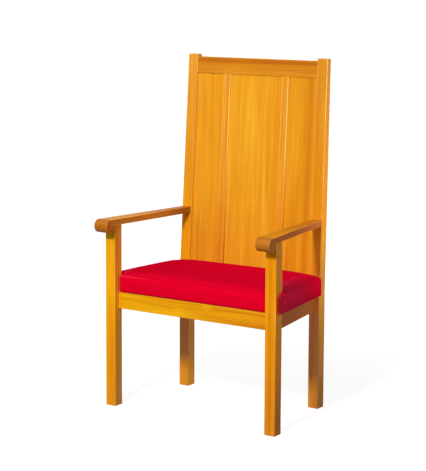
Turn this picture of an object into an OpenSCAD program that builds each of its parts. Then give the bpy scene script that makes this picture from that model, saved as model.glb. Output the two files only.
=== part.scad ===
// High-backed armchair in varnished pine: square posts, a raked back of three panels between narrow
// muntins, flat arms that end in a roll, and a boxed cushion that sits on the seat rails.
// Lengths are in millimetres. X runs across the chair, Y from front to back, Z up.
// The origin is on the floor, in the middle of the space that the chair takes up.

/* [Seat frame] */
// Width over the front posts
front_w = 690; // [620:5:760]
// Width over the back posts, at the seat
back_w = 585; // [540:5:640]
// Depth from the face of the front posts to the face of the back posts
frame_d = 370; // [340:5:440]
// Width of every post
post_w = 40; // [38:1:46]
// Depth of the front posts and of the back legs
post_d = 40; // [38:1:46]
// Height of the underside of the seat rails
rail_z = 344; // [300:2:400]
// Height of the seat rails
rail_h = 58; // [54:1:80]
// Thickness of the front and side seat rails
rail_t = 20; // [18:1:22]
// How far the front rail lies behind the face of the posts
front_rail_setback = 22; // [12:1:23]
// How far each side rail lies inside the outer face of the posts
side_rail_setback = 16; // [8:1:18]
// Thickness of the rear seat rail
rear_rail_t = 24; // [22:1:28]

/* [Back] */
// Height of the chair
total_h = 1210; // [1100:5:1300]
// Height above the seat rails at which the back posts start to lean
kink_rise = 10; // [4:1:30]
// How far the back posts lean back at the top
rake = 48; // [20:1:90]
// Width over the back posts, at the top
back_top_w = 572; // [550:1:585]
// Depth of the back posts at the top
post_top_d = 24; // [23:1:38]
// How far the posts stand above the top rail
post_rise = 8; // [2:1:20]
// Height of the top rail
top_rail_h = 59; // [50:1:90]
// Thickness of the top rail and of the muntins
top_rail_t = 20; // [18:1:20]
// How far the top rail lies behind the face of the posts
top_rail_setback = 2; // [1:0.5:3]
// How far the panels lie behind the face of the top rail
panel_setback = 4; // [3:0.5:5]
// Thickness of the panels
panel_t = 12; // [9:0.5:12]
// Width of each muntin between the panels
muntin_w = 27; // [24:1:40]
// Distance from the middle of the back to the middle of a muntin
muntin_x = 120; // [90:1:130]
// Chamfer along the front edges of the muntins
muntin_chamfer = 2.5; // [1:0.5:3]
// Width of the bead along the outer edge of each muntin
bead_w = 9; // [7:0.5:11]
// Width of the small groove beside that bead
quirk_w = 2; // [1:0.5:3]
// Depth of the grooves that hold the panels
groove_d = 8; // [5:0.5:9]

/* [Arms] */
// Height of the top of the arms
arm_top_z = 661; // [620:1:720]
// Thickness of the arms
arm_t = 22; // [18:1:24]
// Width of an arm over the front post
arm_front_w = 52; // [48:1:60]
// Width of an arm at the back post
arm_back_w = 36; // [32:1:40]
// How far an arm stands out past the side of the front post
arm_proud = 2; // [0:0.5:6]
// Diameter of the roll at the front of an arm
roll_d = 46; // [40:1:56]
// Distance from the face of the front post to the middle of the roll
roll_y = 32; // [26:1:60]

/* [Seat] */
// Height of the cushion at its edge
cushion_h = 66; // [50:1:90]
// How much the middle of the cushion rises above its edge
cushion_crown = 8; // [2:1:20]
// How far the cushion's edges are rounded in
cushion_round = 9; // [4:1:12]
// How far the cushion swells past the sides of the posts
cushion_swell = 12; // [6:1:16]
// How far the front of the cushion stands past the front rail
cushion_proud = 2; // [0:1:6]
// How much the sides of the cushion draw in between its corners
cushion_draw = 3; // [0:0.5:6]
// Gap between the cushion and the posts
cushion_gap = 2; // [1:0.5:5]
// Thickness of the plywood seat board
board_t = 12; // [9:1:18]
// Thickness of the wadding over the foam
wadding_t = 12; // [8:1:16]
// Thickness of the cover where it is turned under the board
hem_t = 1.5; // [1:0.5:3]
// Width of the cover that is turned under the board
hem_w = 30; // [15:1:50]

/* [Fixings] */
// Diameter of the dowels in the frame
dowel_d = 8; // [6:1:9]
// Length of the dowels in the frame
dowel_l = 40; // [30:1:40]
// Diameter of the dowels between arm and roll
roll_dowel_d = 6; // [5:1:7]
// Length of the dowels between arm and roll
roll_dowel_l = 28; // [20:1:30]
// Diameter of the screws in the corner blocks
screw_d = 4; // [3:0.5:5]
// Diameter of a screw's head
screw_head_d = 8; // [7:0.5:9]
// Length of the screws that hold a corner block to the rails
block_screw_l = 32; // [28:1:34]
// Length along the rails of a corner block
block_l = 60; // [52:1:75]
// Height of a corner block
block_h = 30; // [26:1:40]

/* [Hidden] */
$fn = 48;
// Play round each dowel and screw, and in each groove
play = 0.2;
// Space left at the blind end of a hole or groove
end_play = 1;
// Overrun of a cut past the face that it opens
over = 4;
// Length that reaches past the whole chair, for half spaces
far = 2 * total_h;

rail_top_z = rail_z + rail_h;
kink_z = rail_top_z + kink_rise;
back_rise = total_h - kink_z;
rake_angle = atan(rake / back_rise);
// Heights in the raked back are measured along the post, from the kink
top_v = back_rise / cos(rake_angle);
lean = (back_w - back_top_w) / 2;
back_inner_x = back_w / 2 - post_w;
arm_under_z = arm_top_z - arm_t;

// Raked back: places along the post and behind its face
top_rail_v = (back_rise - post_rise - top_rail_h) / cos(rake_angle);
seat_v = -kink_rise / cos(rake_angle);
panel_y = top_rail_setback + panel_setback;
panel_low_v = seat_v - groove_d + end_play;
panel_high_v = top_rail_v + groove_d - end_play;
muntin_groove_d = min(groove_d, muntin_w / 3);

// Arms: the middle line runs from over the front post to the face of the back post
arm_mid_z = arm_top_z - arm_t / 2;
arm_end_y = face_y(arm_top_z);
arm_front_x = front_w / 2 + arm_proud - arm_front_w / 2;
arm_end_x = back_w / 2 - lean_x(arm_mid_z) - arm_back_w / 2;
roll_x = arm_mid_x(-roll_y);
roll_w = 2 * arm_half_w(-roll_y);
roll_z = arm_top_z - roll_d / 2;

// The chair's own middle, which is put over the origin
front_reach = roll_y + roll_d / 2;
back_reach = max(frame_d + rake + post_top_d, frame_d + post_d);
mid_y = (back_reach - front_reach) / 2;

// Side rails run from the back of the front post to the face of the back post
side_run = frame_d - post_d;
side_angle = atan((front_w - back_w) / 2 / side_run);
side_front_x = front_w / 2 - side_rail_setback;
side_rail_w = rail_t / cos(side_angle);
front_rail_back_y = front_rail_setback + rail_t;

// Dowel places up the seat rails, below the rear rail's groove: in every post the side rail's dowels
// pass between those of the front or rear rail
cross_dowel_shares = [0.12, 0.84];
side_dowel_shares = [0.35, 0.61];
cross_dowel_z = [for (s = cross_dowel_shares) rail_z + s * (rail_h - groove_d)];
side_dowel_z = [for (s = side_dowel_shares) rail_z + s * (rail_h - groove_d)];
top_dowel_share = 0.25;
// Dowel places across the back end of an arm and across a roll, as shares of its width
arm_dowel_share = 0.2;
roll_dowel_share = 0.24;
dowel_bevel = 1;

// Corner blocks
block_nip_share = 0.12;
block_screw_share = 0.6;
block_seat_share = 0.3;
block_step_share = 0.23;
seat_screw_share = 0.27;
block_z = rail_top_z - block_h;
block_seat = block_seat_share * block_l;
seat_screw_l = block_h - screw_head_d + hem_t + board_t * 2 / 3;

// Cushion outline, and its profile from the rail up
cushion_front_y = front_rail_setback - cushion_proud;
cushion_back_y = frame_d - cushion_gap;
notch_x = front_w / 2 - post_w - cushion_gap;
notch_y = post_d + cushion_gap;
front_corner_r = 8;
notch_corner_r = 4;
side_corner_r = 14;
rear_corner_r = 22;
corner_steps = 4;
edge_steps = 6;
cushion_mid_y = (cushion_front_y + cushion_back_y) / 2;
cushion_half_w = side_x(notch_y) + cushion_swell;
cushion_half_d = (cushion_back_y - cushion_front_y) / 2;
// Each ring: share of the edge height, and share of the rounding by which the ring is drawn in
profile_shares = [
    [0, 0.6], [0.05, 0.3], [0.16, 0.12], [0.42, 0],
    [0.7, 0.08], [0.86, 0.35], [0.95, 0.8], [1, 1.5]
];
// Rings of the crown: share of the way to the middle
crown_shares = [0.12, 0.3, 0.6, 0.85];
board_inset = cushion_round + hem_t + end_play;
board_z = rail_top_z + hem_t;
foam_z = board_z + board_t;
foam_t = cushion_h - hem_t - board_t - wadding_t;

// How far the back posts have leant inwards at height z
function lean_x(z) = z <= kink_z ? 0 : lean * (z - kink_z) / back_rise;
// Face of the back posts at height z
function face_y(z) = z <= kink_z ? frame_d : frame_d + rake * (z - kink_z) / back_rise;
// Inner side of the back posts at v in the raked back
function inner_x(v) = back_inner_x - max(0, lean * v / top_v);
// Line over the outer faces of front and back post, at depth y
function side_x(y) = front_w / 2 + (back_w - front_w) / 2 * y / frame_d;
// Middle line and half width of an arm, at depth y
function arm_mid_x(y) = arm_front_x + (arm_end_x - arm_front_x) * y / arm_end_y;
function arm_half_w(y) = (arm_front_w + (arm_back_w - arm_front_w) * y / arm_end_y) / 2;
// Outer and inner face of a side rail, at depth y
function rail_outer_x(y) = side_front_x + (back_w - front_w) / 2 * (y - post_d) / side_run;
function rail_inner_x(y) = rail_outer_x(y) - side_rail_w;

// The cushion's outline. Each corner is x, y and its radius.
half_corners = [
    [notch_x, cushion_front_y, front_corner_r],
    [notch_x, notch_y, notch_corner_r],
    [side_x(notch_y) + cushion_swell, notch_y, side_corner_r],
    [side_x(cushion_back_y) + cushion_swell, cushion_back_y, rear_corner_r]
];
function unit(a) = a / norm(a);
function flat(lists) = [for (l = lists) for (p = l) p];
function turned(points) = [for (i = [len(points) - 1:-1:0]) [-points[i][0], points[i][1]]];
// Points of an arc that rounds corner b between a and c
function rounded(a, b, c, r) =
    let (
        p = [b[0], b[1]],
        u = unit([a[0], a[1]] - p),
        w = unit([c[0], c[1]] - p),
        half = acos(min(1, max(-1, u * w))) / 2,
        centre = p + unit(u + w) * r / sin(half),
        start = p + u * r / tan(half),
        finish = p + w * r / tan(half),
        a0 = atan2(start[1] - centre[1], start[0] - centre[0]),
        turn = atan2(finish[1] - centre[1], finish[0] - centre[0]) - a0,
        sweep = turn > 180 ? turn - 360 : turn < -180 ? turn + 360 : turn
    )
    [for (i = [0:corner_steps]) let (a = a0 + sweep * i / corner_steps) centre + r * [cos(a), sin(a)]];
// Points between two points, without its ends, drawn in by a shallow bow
function between(p, q, bow) = [
    for (i = [1:edge_steps - 1])
        let (s = i / edge_steps, n = unit([p[1] - q[1], q[0] - p[0]]))
        p + (q - p) * s + n * bow * sin(180 * s)
];
function half_outline(c) =
    let (
        a0 = rounded([0, c[0][1]], c[0], c[1], c[0][2]),
        a1 = rounded(c[0], c[1], c[2], c[1][2]),
        a2 = rounded(c[1], c[2], c[3], c[2][2]),
        a3 = rounded(c[2], c[3], [0, c[3][1]], c[3][2]),
        middle_front = [0, c[0][1]],
        middle_back = [0, c[3][1]]
    )
    flat([between(middle_front, a0[0], 0), a0, a1, a2, between(a2[corner_steps], a3[0], cushion_draw), a3,
        between(a3[corner_steps], middle_back, 0)]);
half_points = half_outline(half_corners);
outline = concat([[0, cushion_front_y]], half_points, [[0, cushion_back_y]], turned(half_points));
outline_n = len(outline);
// The outline drawn in towards the cushion's middle by a length
function drawn_in(d) = [
    for (p = outline)
        [p[0] * (1 - d / cushion_half_w), cushion_mid_y + (p[1] - cushion_mid_y) * (1 - d / cushion_half_d)]
];
// The outline shrunk towards the cushion's middle by a share
function shrunk(points, s) = [
    for (p = points) [p[0] * (1 - s), cushion_mid_y + (p[1] - cushion_mid_y) * (1 - s)]
];
function at_height(points, z) = [for (p = points) [p[0], p[1], z]];
function crown_z(s) = rail_top_z + cushion_h + cushion_crown * (1 - pow(1 - s, 2));
edge_ring = drawn_in(profile_shares[len(profile_shares) - 1][1] * cushion_round);
cushion_rings = concat(
    [for (s = profile_shares) at_height(drawn_in(s[1] * cushion_round), rail_top_z + s[0] * cushion_h)],
    [for (s = crown_shares) at_height(shrunk(edge_ring, s), crown_z(s))]
);
cushion_top = [0, cushion_mid_y, crown_z(1)];
cushion_bottom = [0, cushion_mid_y, rail_top_z];

// Puts a piece that is laid out from the face of the front posts over the origin
module placed() {
    translate([0, -mid_y, 0]) children();
}

// Puts a piece of the back in the plane of the leaning posts: y is behind their face, z up along them
module raked() {
    translate([0, frame_d, kink_z]) rotate([-rake_angle, 0, 0]) children();
}

// One side's piece, or its mirror image for the left side
module sided(side) {
    mirror([side < 0 ? 1 : 0, 0, 0]) children();
}

// Dowel along +Z, centred on its joint, with bevelled ends
module dowel(d, l) {
    rotate_extrude()
        polygon([[0, -l / 2], [d / 2 - dowel_bevel, -l / 2], [d / 2, -l / 2 + dowel_bevel],
            [d / 2, l / 2 - dowel_bevel], [d / 2 - dowel_bevel, l / 2], [0, l / 2]]);
}

// The hole for one dowel, through both pieces
module dowel_hole(d, l) {
    translate([0, 0, -l / 2 - end_play]) cylinder(d = d + 2 * play, h = l + 2 * end_play);
}

// Countersunk screw along +Z, with its head's top at the origin
module screw(l) {
    head_h = screw_head_d / 3;
    cylinder(d1 = screw_head_d, d2 = screw_d, h = head_h);
    cylinder(d = screw_d, h = l);
}

// The hole for a screw, with room for its head behind it
module screw_hole(l, room) {
    cylinder(d = screw_d + 2 * play, h = l + end_play);
    translate([0, 0, -room]) cylinder(d = screw_head_d + 2 * play, h = room + screw_head_d / 3 + play);
}

// Dowel places of the right half of the chair
module front_rail_dowels() {
    for (z = cross_dowel_z)
        translate([front_w / 2 - post_w, front_rail_setback + rail_t / 2, z]) rotate([0, 90, 0]) children();
}

module side_rail_dowels() {
    for (y = [post_d, frame_d], z = side_dowel_z)
        translate([rail_outer_x(y) - side_rail_w / 2, y, z])
            rotate([0, 0, side_angle]) rotate([90, 0, 0]) children();
}

module rear_rail_dowels() {
    for (z = cross_dowel_z)
        translate([back_inner_x, frame_d + rear_rail_t / 2, z]) rotate([0, 90, 0]) children();
}

module top_rail_dowels() {
    for (s = [-top_dowel_share, top_dowel_share])
        let (v = top_rail_v + top_rail_h * (1 / 2 + s))
        raked() translate([inner_x(v), top_rail_setback + top_rail_t / 2, v]) rotate([0, 90, 0]) children();
}

module arm_post_dowel() {
    translate([front_w / 2 - post_w / 2, post_d / 2, arm_under_z]) children();
}

module arm_end_dowels() {
    for (s = [-arm_dowel_share, arm_dowel_share])
        translate([arm_end_x + s * arm_back_w, face_y(arm_mid_z), arm_mid_z])
            rotate([-rake_angle, 0, 0]) rotate([90, 0, 0]) children();
}

module roll_dowels() {
    for (s = [-roll_dowel_share, roll_dowel_share])
        translate([roll_x + s * roll_w, -roll_y, arm_mid_z]) rotate([90, 0, 0]) children();
}

// The two screws that hold a corner block, and the one up into the seat board. ends is 1 for the front
// block and -1 for the rear one.
module rail_screws(ends) {
    corner = block_corner(ends);
    translate([corner[0] - block_screw_share * block_l, corner[1] + ends * block_seat,
        block_z + block_h * (1 / 2 - block_step_share)])
        rotate([ends * 90, 0, 0]) children();
    translate([corner[0], corner[1], block_z + block_h * (1 / 2 + block_step_share)])
        rotate([0, 0, side_angle])
        translate([-block_seat, ends * block_screw_share * block_l, 0])
        rotate([0, 90, 0]) children();
}

module seat_screw_place(ends) {
    corner = block_corner(ends);
    translate([corner[0] - seat_screw_share * block_l, corner[1] + ends * seat_screw_share * block_l,
        block_z + screw_head_d]) children();
}

function block_corner(ends) =
    ends > 0 ? [rail_inner_x(front_rail_back_y), front_rail_back_y] : [rail_inner_x(frame_d), frame_d];

module front_post(side) {
    color("goldenrod") placed() sided(side) difference() {
        translate([front_w / 2 - post_w, 0, 0]) cube([post_w, post_d, arm_under_z]);
        front_rail_dowels() dowel_hole(dowel_d, dowel_l);
        side_rail_dowels() dowel_hole(dowel_d, dowel_l);
        arm_post_dowel() dowel_hole(dowel_d, dowel_l / 2);
    }
}

// One-piece back post: an upright leg, then the leaning part that thins towards the top
module back_post(side) {
    color("goldenrod") placed() sided(side) difference() {
        intersection() {
            rotate([90, 0, 90]) linear_extrude(back_w)
                polygon([[frame_d, 0], [frame_d + post_d, 0], [frame_d + post_d, kink_z],
                    [frame_d + rake + post_top_d, total_h], [frame_d + rake, total_h], [frame_d, kink_z]]);
            translate([0, far, 0]) rotate([90, 0, 0]) linear_extrude(2 * far)
                polygon([[back_inner_x, 0], [back_w / 2, 0], [back_w / 2, kink_z],
                    [back_w / 2 - lean, total_h], [back_inner_x - lean, total_h], [back_inner_x, kink_z]]);
        }
        side_rail_dowels() dowel_hole(dowel_d, dowel_l);
        rear_rail_dowels() dowel_hole(dowel_d, dowel_l);
        top_rail_dowels() dowel_hole(dowel_d, dowel_l * 3 / 4);
        arm_end_dowels() dowel_hole(dowel_d, dowel_l);
        raked() panel_space([[inner_x(seat_v) - over, panel_low_v - end_play],
            [inner_x(panel_low_v) + groove_d, panel_low_v - end_play],
            [inner_x(0) + groove_d, 0],
            [inner_x(panel_high_v) + groove_d, panel_high_v + end_play],
            [inner_x(panel_high_v) - over, panel_high_v + end_play]]);
    }
}

// The space of a groove for the panels, over an outline across and up the back
module panel_space(points) {
    translate([0, panel_y + panel_t + play, 0]) rotate([90, 0, 0])
        linear_extrude(panel_t + 2 * play) polygon(points);
}

module front_seat_rail() {
    half_l = front_w / 2 - post_w;
    color("goldenrod") placed() difference() {
        translate([-half_l, front_rail_setback, rail_z]) cube([2 * half_l, rail_t, rail_h]);
        for (side = [-1, 1]) sided(side) {
            front_rail_dowels() dowel_hole(dowel_d, dowel_l);
            rail_screws(1) screw_hole(block_screw_l, 0);
        }
    }
}

module side_seat_rail(side) {
    color("darkgoldenrod") placed() sided(side) difference() {
        translate([0, 0, rail_z]) linear_extrude(rail_h)
            polygon([[rail_outer_x(post_d), post_d], [rail_outer_x(frame_d), frame_d],
                [rail_inner_x(frame_d), frame_d], [rail_inner_x(post_d), post_d]]);
        side_rail_dowels() dowel_hole(dowel_d, dowel_l);
        for (ends = [-1, 1]) rail_screws(ends) screw_hole(block_screw_l, 0);
    }
}

module rear_seat_rail() {
    color("goldenrod") placed() difference() {
        translate([-back_inner_x, frame_d, rail_z]) cube([2 * back_inner_x, rear_rail_t, rail_h]);
        for (side = [-1, 1]) sided(side) {
            rear_rail_dowels() dowel_hole(dowel_d, dowel_l);
            rail_screws(-1) screw_hole(block_screw_l, 0);
        }
        raked() panel_space([[-back_w, panel_low_v - end_play], [back_w, panel_low_v - end_play],
            [back_w, top_rail_h], [-back_w, top_rail_h]]);
    }
}

module top_rail() {
    high_v = top_rail_v + top_rail_h;
    color("peru") placed() difference() {
        raked() translate([0, top_rail_setback + top_rail_t, 0]) rotate([90, 0, 0]) linear_extrude(top_rail_t)
            polygon([[-inner_x(top_rail_v), top_rail_v], [inner_x(top_rail_v), top_rail_v],
                [inner_x(high_v), high_v], [-inner_x(high_v), high_v]]);
        for (side = [-1, 1]) sided(side) top_rail_dowels() dowel_hole(dowel_d, dowel_l * 3 / 4);
        raked() panel_space([[-back_w, top_rail_v - over], [back_w, top_rail_v - over],
            [back_w, panel_high_v + end_play], [-back_w, panel_high_v + end_play]]);
    }
}

// Everything below the top of the rear rail, which the raked pieces are cut to
module below(z) {
    translate([-far, -far, z - 2 * far]) cube([2 * far, 2 * far, 2 * far]);
}

// Muntin between two panels, grooved along both edges, with a stub tenon at each end
module muntin(side) {
    left = muntin_x - muntin_w / 2;
    right = muntin_x + muntin_w / 2;
    front = top_rail_setback;
    back = top_rail_setback + top_rail_t;
    near = panel_y - play;
    deep = panel_y + panel_t + play;
    quirk = right - bead_w;
    color("burlywood") placed() sided(side) {
        difference() {
            raked() translate([0, 0, seat_v - over]) linear_extrude(top_rail_v - seat_v + over)
                polygon([[left + muntin_chamfer, front], [quirk - quirk_w / 2, front],
                    [quirk, front + quirk_w / 2], [quirk + quirk_w / 2, front], [right - muntin_chamfer, front],
                    [right, front + muntin_chamfer], [right, near], [right - muntin_groove_d, near],
                    [right - muntin_groove_d, deep], [right, deep], [right, back], [left, back],
                    [left, deep], [left + muntin_groove_d, deep], [left + muntin_groove_d, near],
                    [left, near], [left, front + muntin_chamfer]]);
            below(rail_top_z);
        }
        raked() translate([left + muntin_groove_d, panel_y, panel_low_v])
            cube([muntin_w - 2 * muntin_groove_d, panel_t, panel_high_v - panel_low_v]);
    }
}

// Flat panel over an outline across and up the back
module panel(points) {
    color("orange") placed() raked() translate([0, panel_y + panel_t, 0]) rotate([90, 0, 0])
        linear_extrude(panel_t) polygon(points);
}

module side_panel(side) {
    x0 = muntin_x + muntin_w / 2 - muntin_groove_d + end_play;
    reach = groove_d - end_play;
    sided(side) panel([[x0, panel_low_v], [inner_x(panel_low_v) + reach, panel_low_v],
        [inner_x(0) + reach, 0], [inner_x(panel_high_v) + reach, panel_high_v], [x0, panel_high_v]]);
}

module middle_panel() {
    x0 = muntin_x - muntin_w / 2 + muntin_groove_d - end_play;
    panel([[-x0, panel_low_v], [x0, panel_low_v], [x0, panel_high_v], [-x0, panel_high_v]]);
}

// Flat arm that tapers towards the back post and is cut to its leaning face
module arm(side) {
    past_y = arm_end_y + over;
    color("peru") placed() sided(side) difference() {
        translate([0, 0, arm_under_z]) linear_extrude(arm_t)
            polygon([for (end = [[-roll_y, -1], [-roll_y, 1], [past_y, 1], [past_y, -1]])
                [arm_mid_x(end[0]) + end[1] * arm_half_w(end[0]), end[0]]]);
        raked() translate([-far, 0, -far]) cube([2 * far, far, 2 * far]);
        arm_post_dowel() dowel_hole(dowel_d, dowel_l / 2);
        arm_end_dowels() dowel_hole(dowel_d, dowel_l);
        roll_dowels() dowel_hole(roll_dowel_d, roll_dowel_l);
    }
}

// Roll across the front end of an arm, with a seat cut for the arm's end
module arm_roll(side) {
    color("chocolate") placed() sided(side) difference() {
        translate([roll_x - roll_w / 2, -roll_y, roll_z]) rotate([0, 90, 0]) cylinder(d = roll_d, h = roll_w);
        translate([roll_x - roll_w, -roll_y, arm_under_z]) cube([2 * roll_w, roll_d, roll_d]);
        roll_dowels() dowel_hole(roll_dowel_d, roll_dowel_l);
    }
}

// Three-cornered block, glued and screwed into a corner of the seat frame
module corner_block(side, ends) {
    corner = block_corner(ends);
    nip = block_nip_share * block_l;
    along = [-sin(side_angle), cos(side_angle)] * ends;
    color("wheat") placed() sided(side) difference() {
        translate([0, 0, block_z]) linear_extrude(block_h)
            polygon([corner - [block_l, 0], corner - [nip, 0],
                corner + along * nip, corner + along * block_l]);
        rail_screws(ends) screw_hole(block_screw_l, block_l);
        seat_screw_place(ends) screw_hole(seat_screw_l, block_h);
    }
}

// The cushion's inside, drawn in from its outline
module seat_outline(inset) {
    polygon(drawn_in(inset));
}

module seat_board() {
    color("burlywood") placed() difference() {
        translate([0, 0, board_z]) linear_extrude(board_t) seat_outline(board_inset);
        for (side = [-1, 1], ends = [-1, 1]) sided(side) seat_screw_place(ends) screw_hole(seat_screw_l, 0);
    }
}

module seat_foam() {
    color("lemonchiffon") placed() translate([0, 0, foam_z]) linear_extrude(foam_t) seat_outline(board_inset);
}

// Padded cover: a crowned box round the foam and board, turned under the board's edge
module seat_cover() {
    color("crimson") placed() difference() {
        cushion_form();
        translate([0, 0, board_z - play]) linear_extrude(board_t + foam_t + 2 * play)
            seat_outline(board_inset - play);
        translate([0, 0, rail_top_z - over]) linear_extrude(hem_t + over) seat_outline(board_inset + hem_w);
        for (side = [-1, 1], ends = [-1, 1]) sided(side) seat_screw_place(ends) screw_hole(seat_screw_l, 0);
    }
}

// Closed solid through the rings of the cushion, from the bottom up
module cushion_form() {
    rings = len(cushion_rings);
    last = rings * outline_n;
    sides = [
        for (r = [0:rings - 2], i = [0:outline_n - 1])
            let (
                a = r * outline_n + i,
                b = r * outline_n + (i + 1) % outline_n,
                c = b + outline_n,
                d = a + outline_n
            )
            each [[a, c, b], [a, d, c]]
    ];
    bottom = [for (i = [0:outline_n - 1]) [i, (i + 1) % outline_n, last]];
    high = last - outline_n;
    top = [for (i = [0:outline_n - 1]) [last + 1, high + (i + 1) % outline_n, high + i]];
    points = concat(flat(cushion_rings), [cushion_bottom, cushion_top]);
    polyhedron(points = points, faces = concat(sides, bottom, top));
}

// All dowels of the seat frame and top rail
module frame_dowels() {
    color("tan") placed() for (side = [-1, 1]) sided(side) {
        front_rail_dowels() dowel(dowel_d, dowel_l);
        side_rail_dowels() dowel(dowel_d, dowel_l);
        rear_rail_dowels() dowel(dowel_d, dowel_l);
        top_rail_dowels() dowel(dowel_d, dowel_l * 3 / 4);
    }
}

module arm_dowels() {
    color("tan") placed() for (side = [-1, 1]) sided(side) {
        arm_post_dowel() dowel(dowel_d, dowel_l / 2);
        arm_end_dowels() dowel(dowel_d, dowel_l);
    }
}

module arm_roll_dowels() {
    color("tan") placed() for (side = [-1, 1]) sided(side) roll_dowels() dowel(roll_dowel_d, roll_dowel_l);
}

module corner_block_screws() {
    color("silver") placed() for (side = [-1, 1], ends = [-1, 1])
        sided(side) rail_screws(ends) screw(block_screw_l);
}

module seat_screws() {
    color("silver") placed() for (side = [-1, 1], ends = [-1, 1])
        sided(side) seat_screw_place(ends) screw(seat_screw_l);
}

front_post(-1);  // front_post_left
front_post(1);  // front_post_right
back_post(-1);  // back_post_left
back_post(1);  // back_post_right
front_seat_rail();
side_seat_rail(-1);  // side_seat_rail_left
side_seat_rail(1);  // side_seat_rail_right
rear_seat_rail();
top_rail();
muntin(-1);  // muntin_left
muntin(1);  // muntin_right
side_panel(-1);  // panel_left
middle_panel();  // panel_middle
side_panel(1);  // panel_right
arm(-1);  // arm_left
arm(1);  // arm_right
arm_roll(-1);  // arm_roll_left
arm_roll(1);  // arm_roll_right
corner_block(-1, 1);  // corner_block_front_left
corner_block(1, 1);  // corner_block_front_right
corner_block(-1, -1);  // corner_block_rear_left
corner_block(1, -1);  // corner_block_rear_right
seat_board();
seat_foam();
seat_cover();
frame_dowels();
arm_dowels();
arm_roll_dowels();
corner_block_screws();
seat_screws();
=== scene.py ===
import logging
import math
from dataclasses import dataclass, field
from enum import Enum
from typing import Callable, Sequence, Union

import bmesh
import bpy
from mathutils import Matrix, Vector
from mathutils.bvhtree import BVHTree


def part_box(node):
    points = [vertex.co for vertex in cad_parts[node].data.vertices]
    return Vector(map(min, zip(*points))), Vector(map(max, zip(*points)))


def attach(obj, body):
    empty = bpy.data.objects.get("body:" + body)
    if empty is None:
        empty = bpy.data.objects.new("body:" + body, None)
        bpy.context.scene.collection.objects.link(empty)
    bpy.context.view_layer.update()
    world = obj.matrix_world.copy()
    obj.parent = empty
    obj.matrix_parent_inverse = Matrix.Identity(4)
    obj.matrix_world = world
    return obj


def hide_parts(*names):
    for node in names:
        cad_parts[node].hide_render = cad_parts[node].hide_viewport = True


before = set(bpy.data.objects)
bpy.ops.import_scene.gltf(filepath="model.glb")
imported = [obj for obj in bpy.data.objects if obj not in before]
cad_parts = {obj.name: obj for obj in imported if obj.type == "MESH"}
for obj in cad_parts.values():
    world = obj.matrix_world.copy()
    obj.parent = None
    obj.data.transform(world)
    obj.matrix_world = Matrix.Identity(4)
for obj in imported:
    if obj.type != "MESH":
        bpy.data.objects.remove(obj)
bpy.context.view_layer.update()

LOG = logging.getLogger("choir_chair")
MM = 0.001
NEAR = 0.01 * MM
MERGE = 0.001 * MM
BODY = "root"

Colour = tuple[float, float, float]
Edge = bmesh.types.BMEdge
Value = Union[float, Sequence[float], "Signal"]


class Grain(Enum):
    """The way the fibres of a piece of wood run."""

    ACROSS = "across the chair"
    DEEP = "from front to back"
    UPRIGHT = "up and down"


class Side(Enum):
    """A side of the chair, with the sign of its x."""

    LEFT = -1
    RIGHT = 1

    def __str__(self) -> str:
        """The side's part in the nodes' names."""
        return self.name.lower()


class Signal:
    """A shader socket that takes part in sums as a number does."""

    def __init__(self, sketch: "Sketch", socket: bpy.types.NodeSocket | None) -> None:
        """Wraps one output socket of a sketch."""
        self.sketch = sketch
        self.socket = socket

    def maths(self, operation: str, *values: Value) -> "Signal":
        """Runs a Math node over this signal and other values.

        Args:
            operation: The Math node's operation.
            values: What follows this signal in the node's sockets.

        Returns:
            The result.
        """
        inputs = dict(enumerate((self, *values)))
        return self.sketch.node("Math", {"operation": operation}, inputs)

    def __add__(self, other: Value) -> "Signal":
        """Adds."""
        return self.maths("ADD", other)

    def __mul__(self, other: Value) -> "Signal":
        """Multiplies."""
        return self.maths("MULTIPLY", other)

    def __sub__(self, other: Value) -> "Signal":
        """Takes other away."""
        return self.maths("SUBTRACT", other)

    def __truediv__(self, other: Value) -> "Signal":
        """Divides by other."""
        return self.maths("DIVIDE", other)

    def fraction(self) -> "Signal":
        """The part behind the decimal point."""
        return self.maths("FRACT")

    def sine(self) -> "Signal":
        """The sine, in radians."""
        return self.maths("SINE")

    def root(self) -> "Signal":
        """The square root."""
        return self.maths("SQRT")

    def size(self) -> "Signal":
        """The value without its sign."""
        return self.maths("ABSOLUTE")


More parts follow.
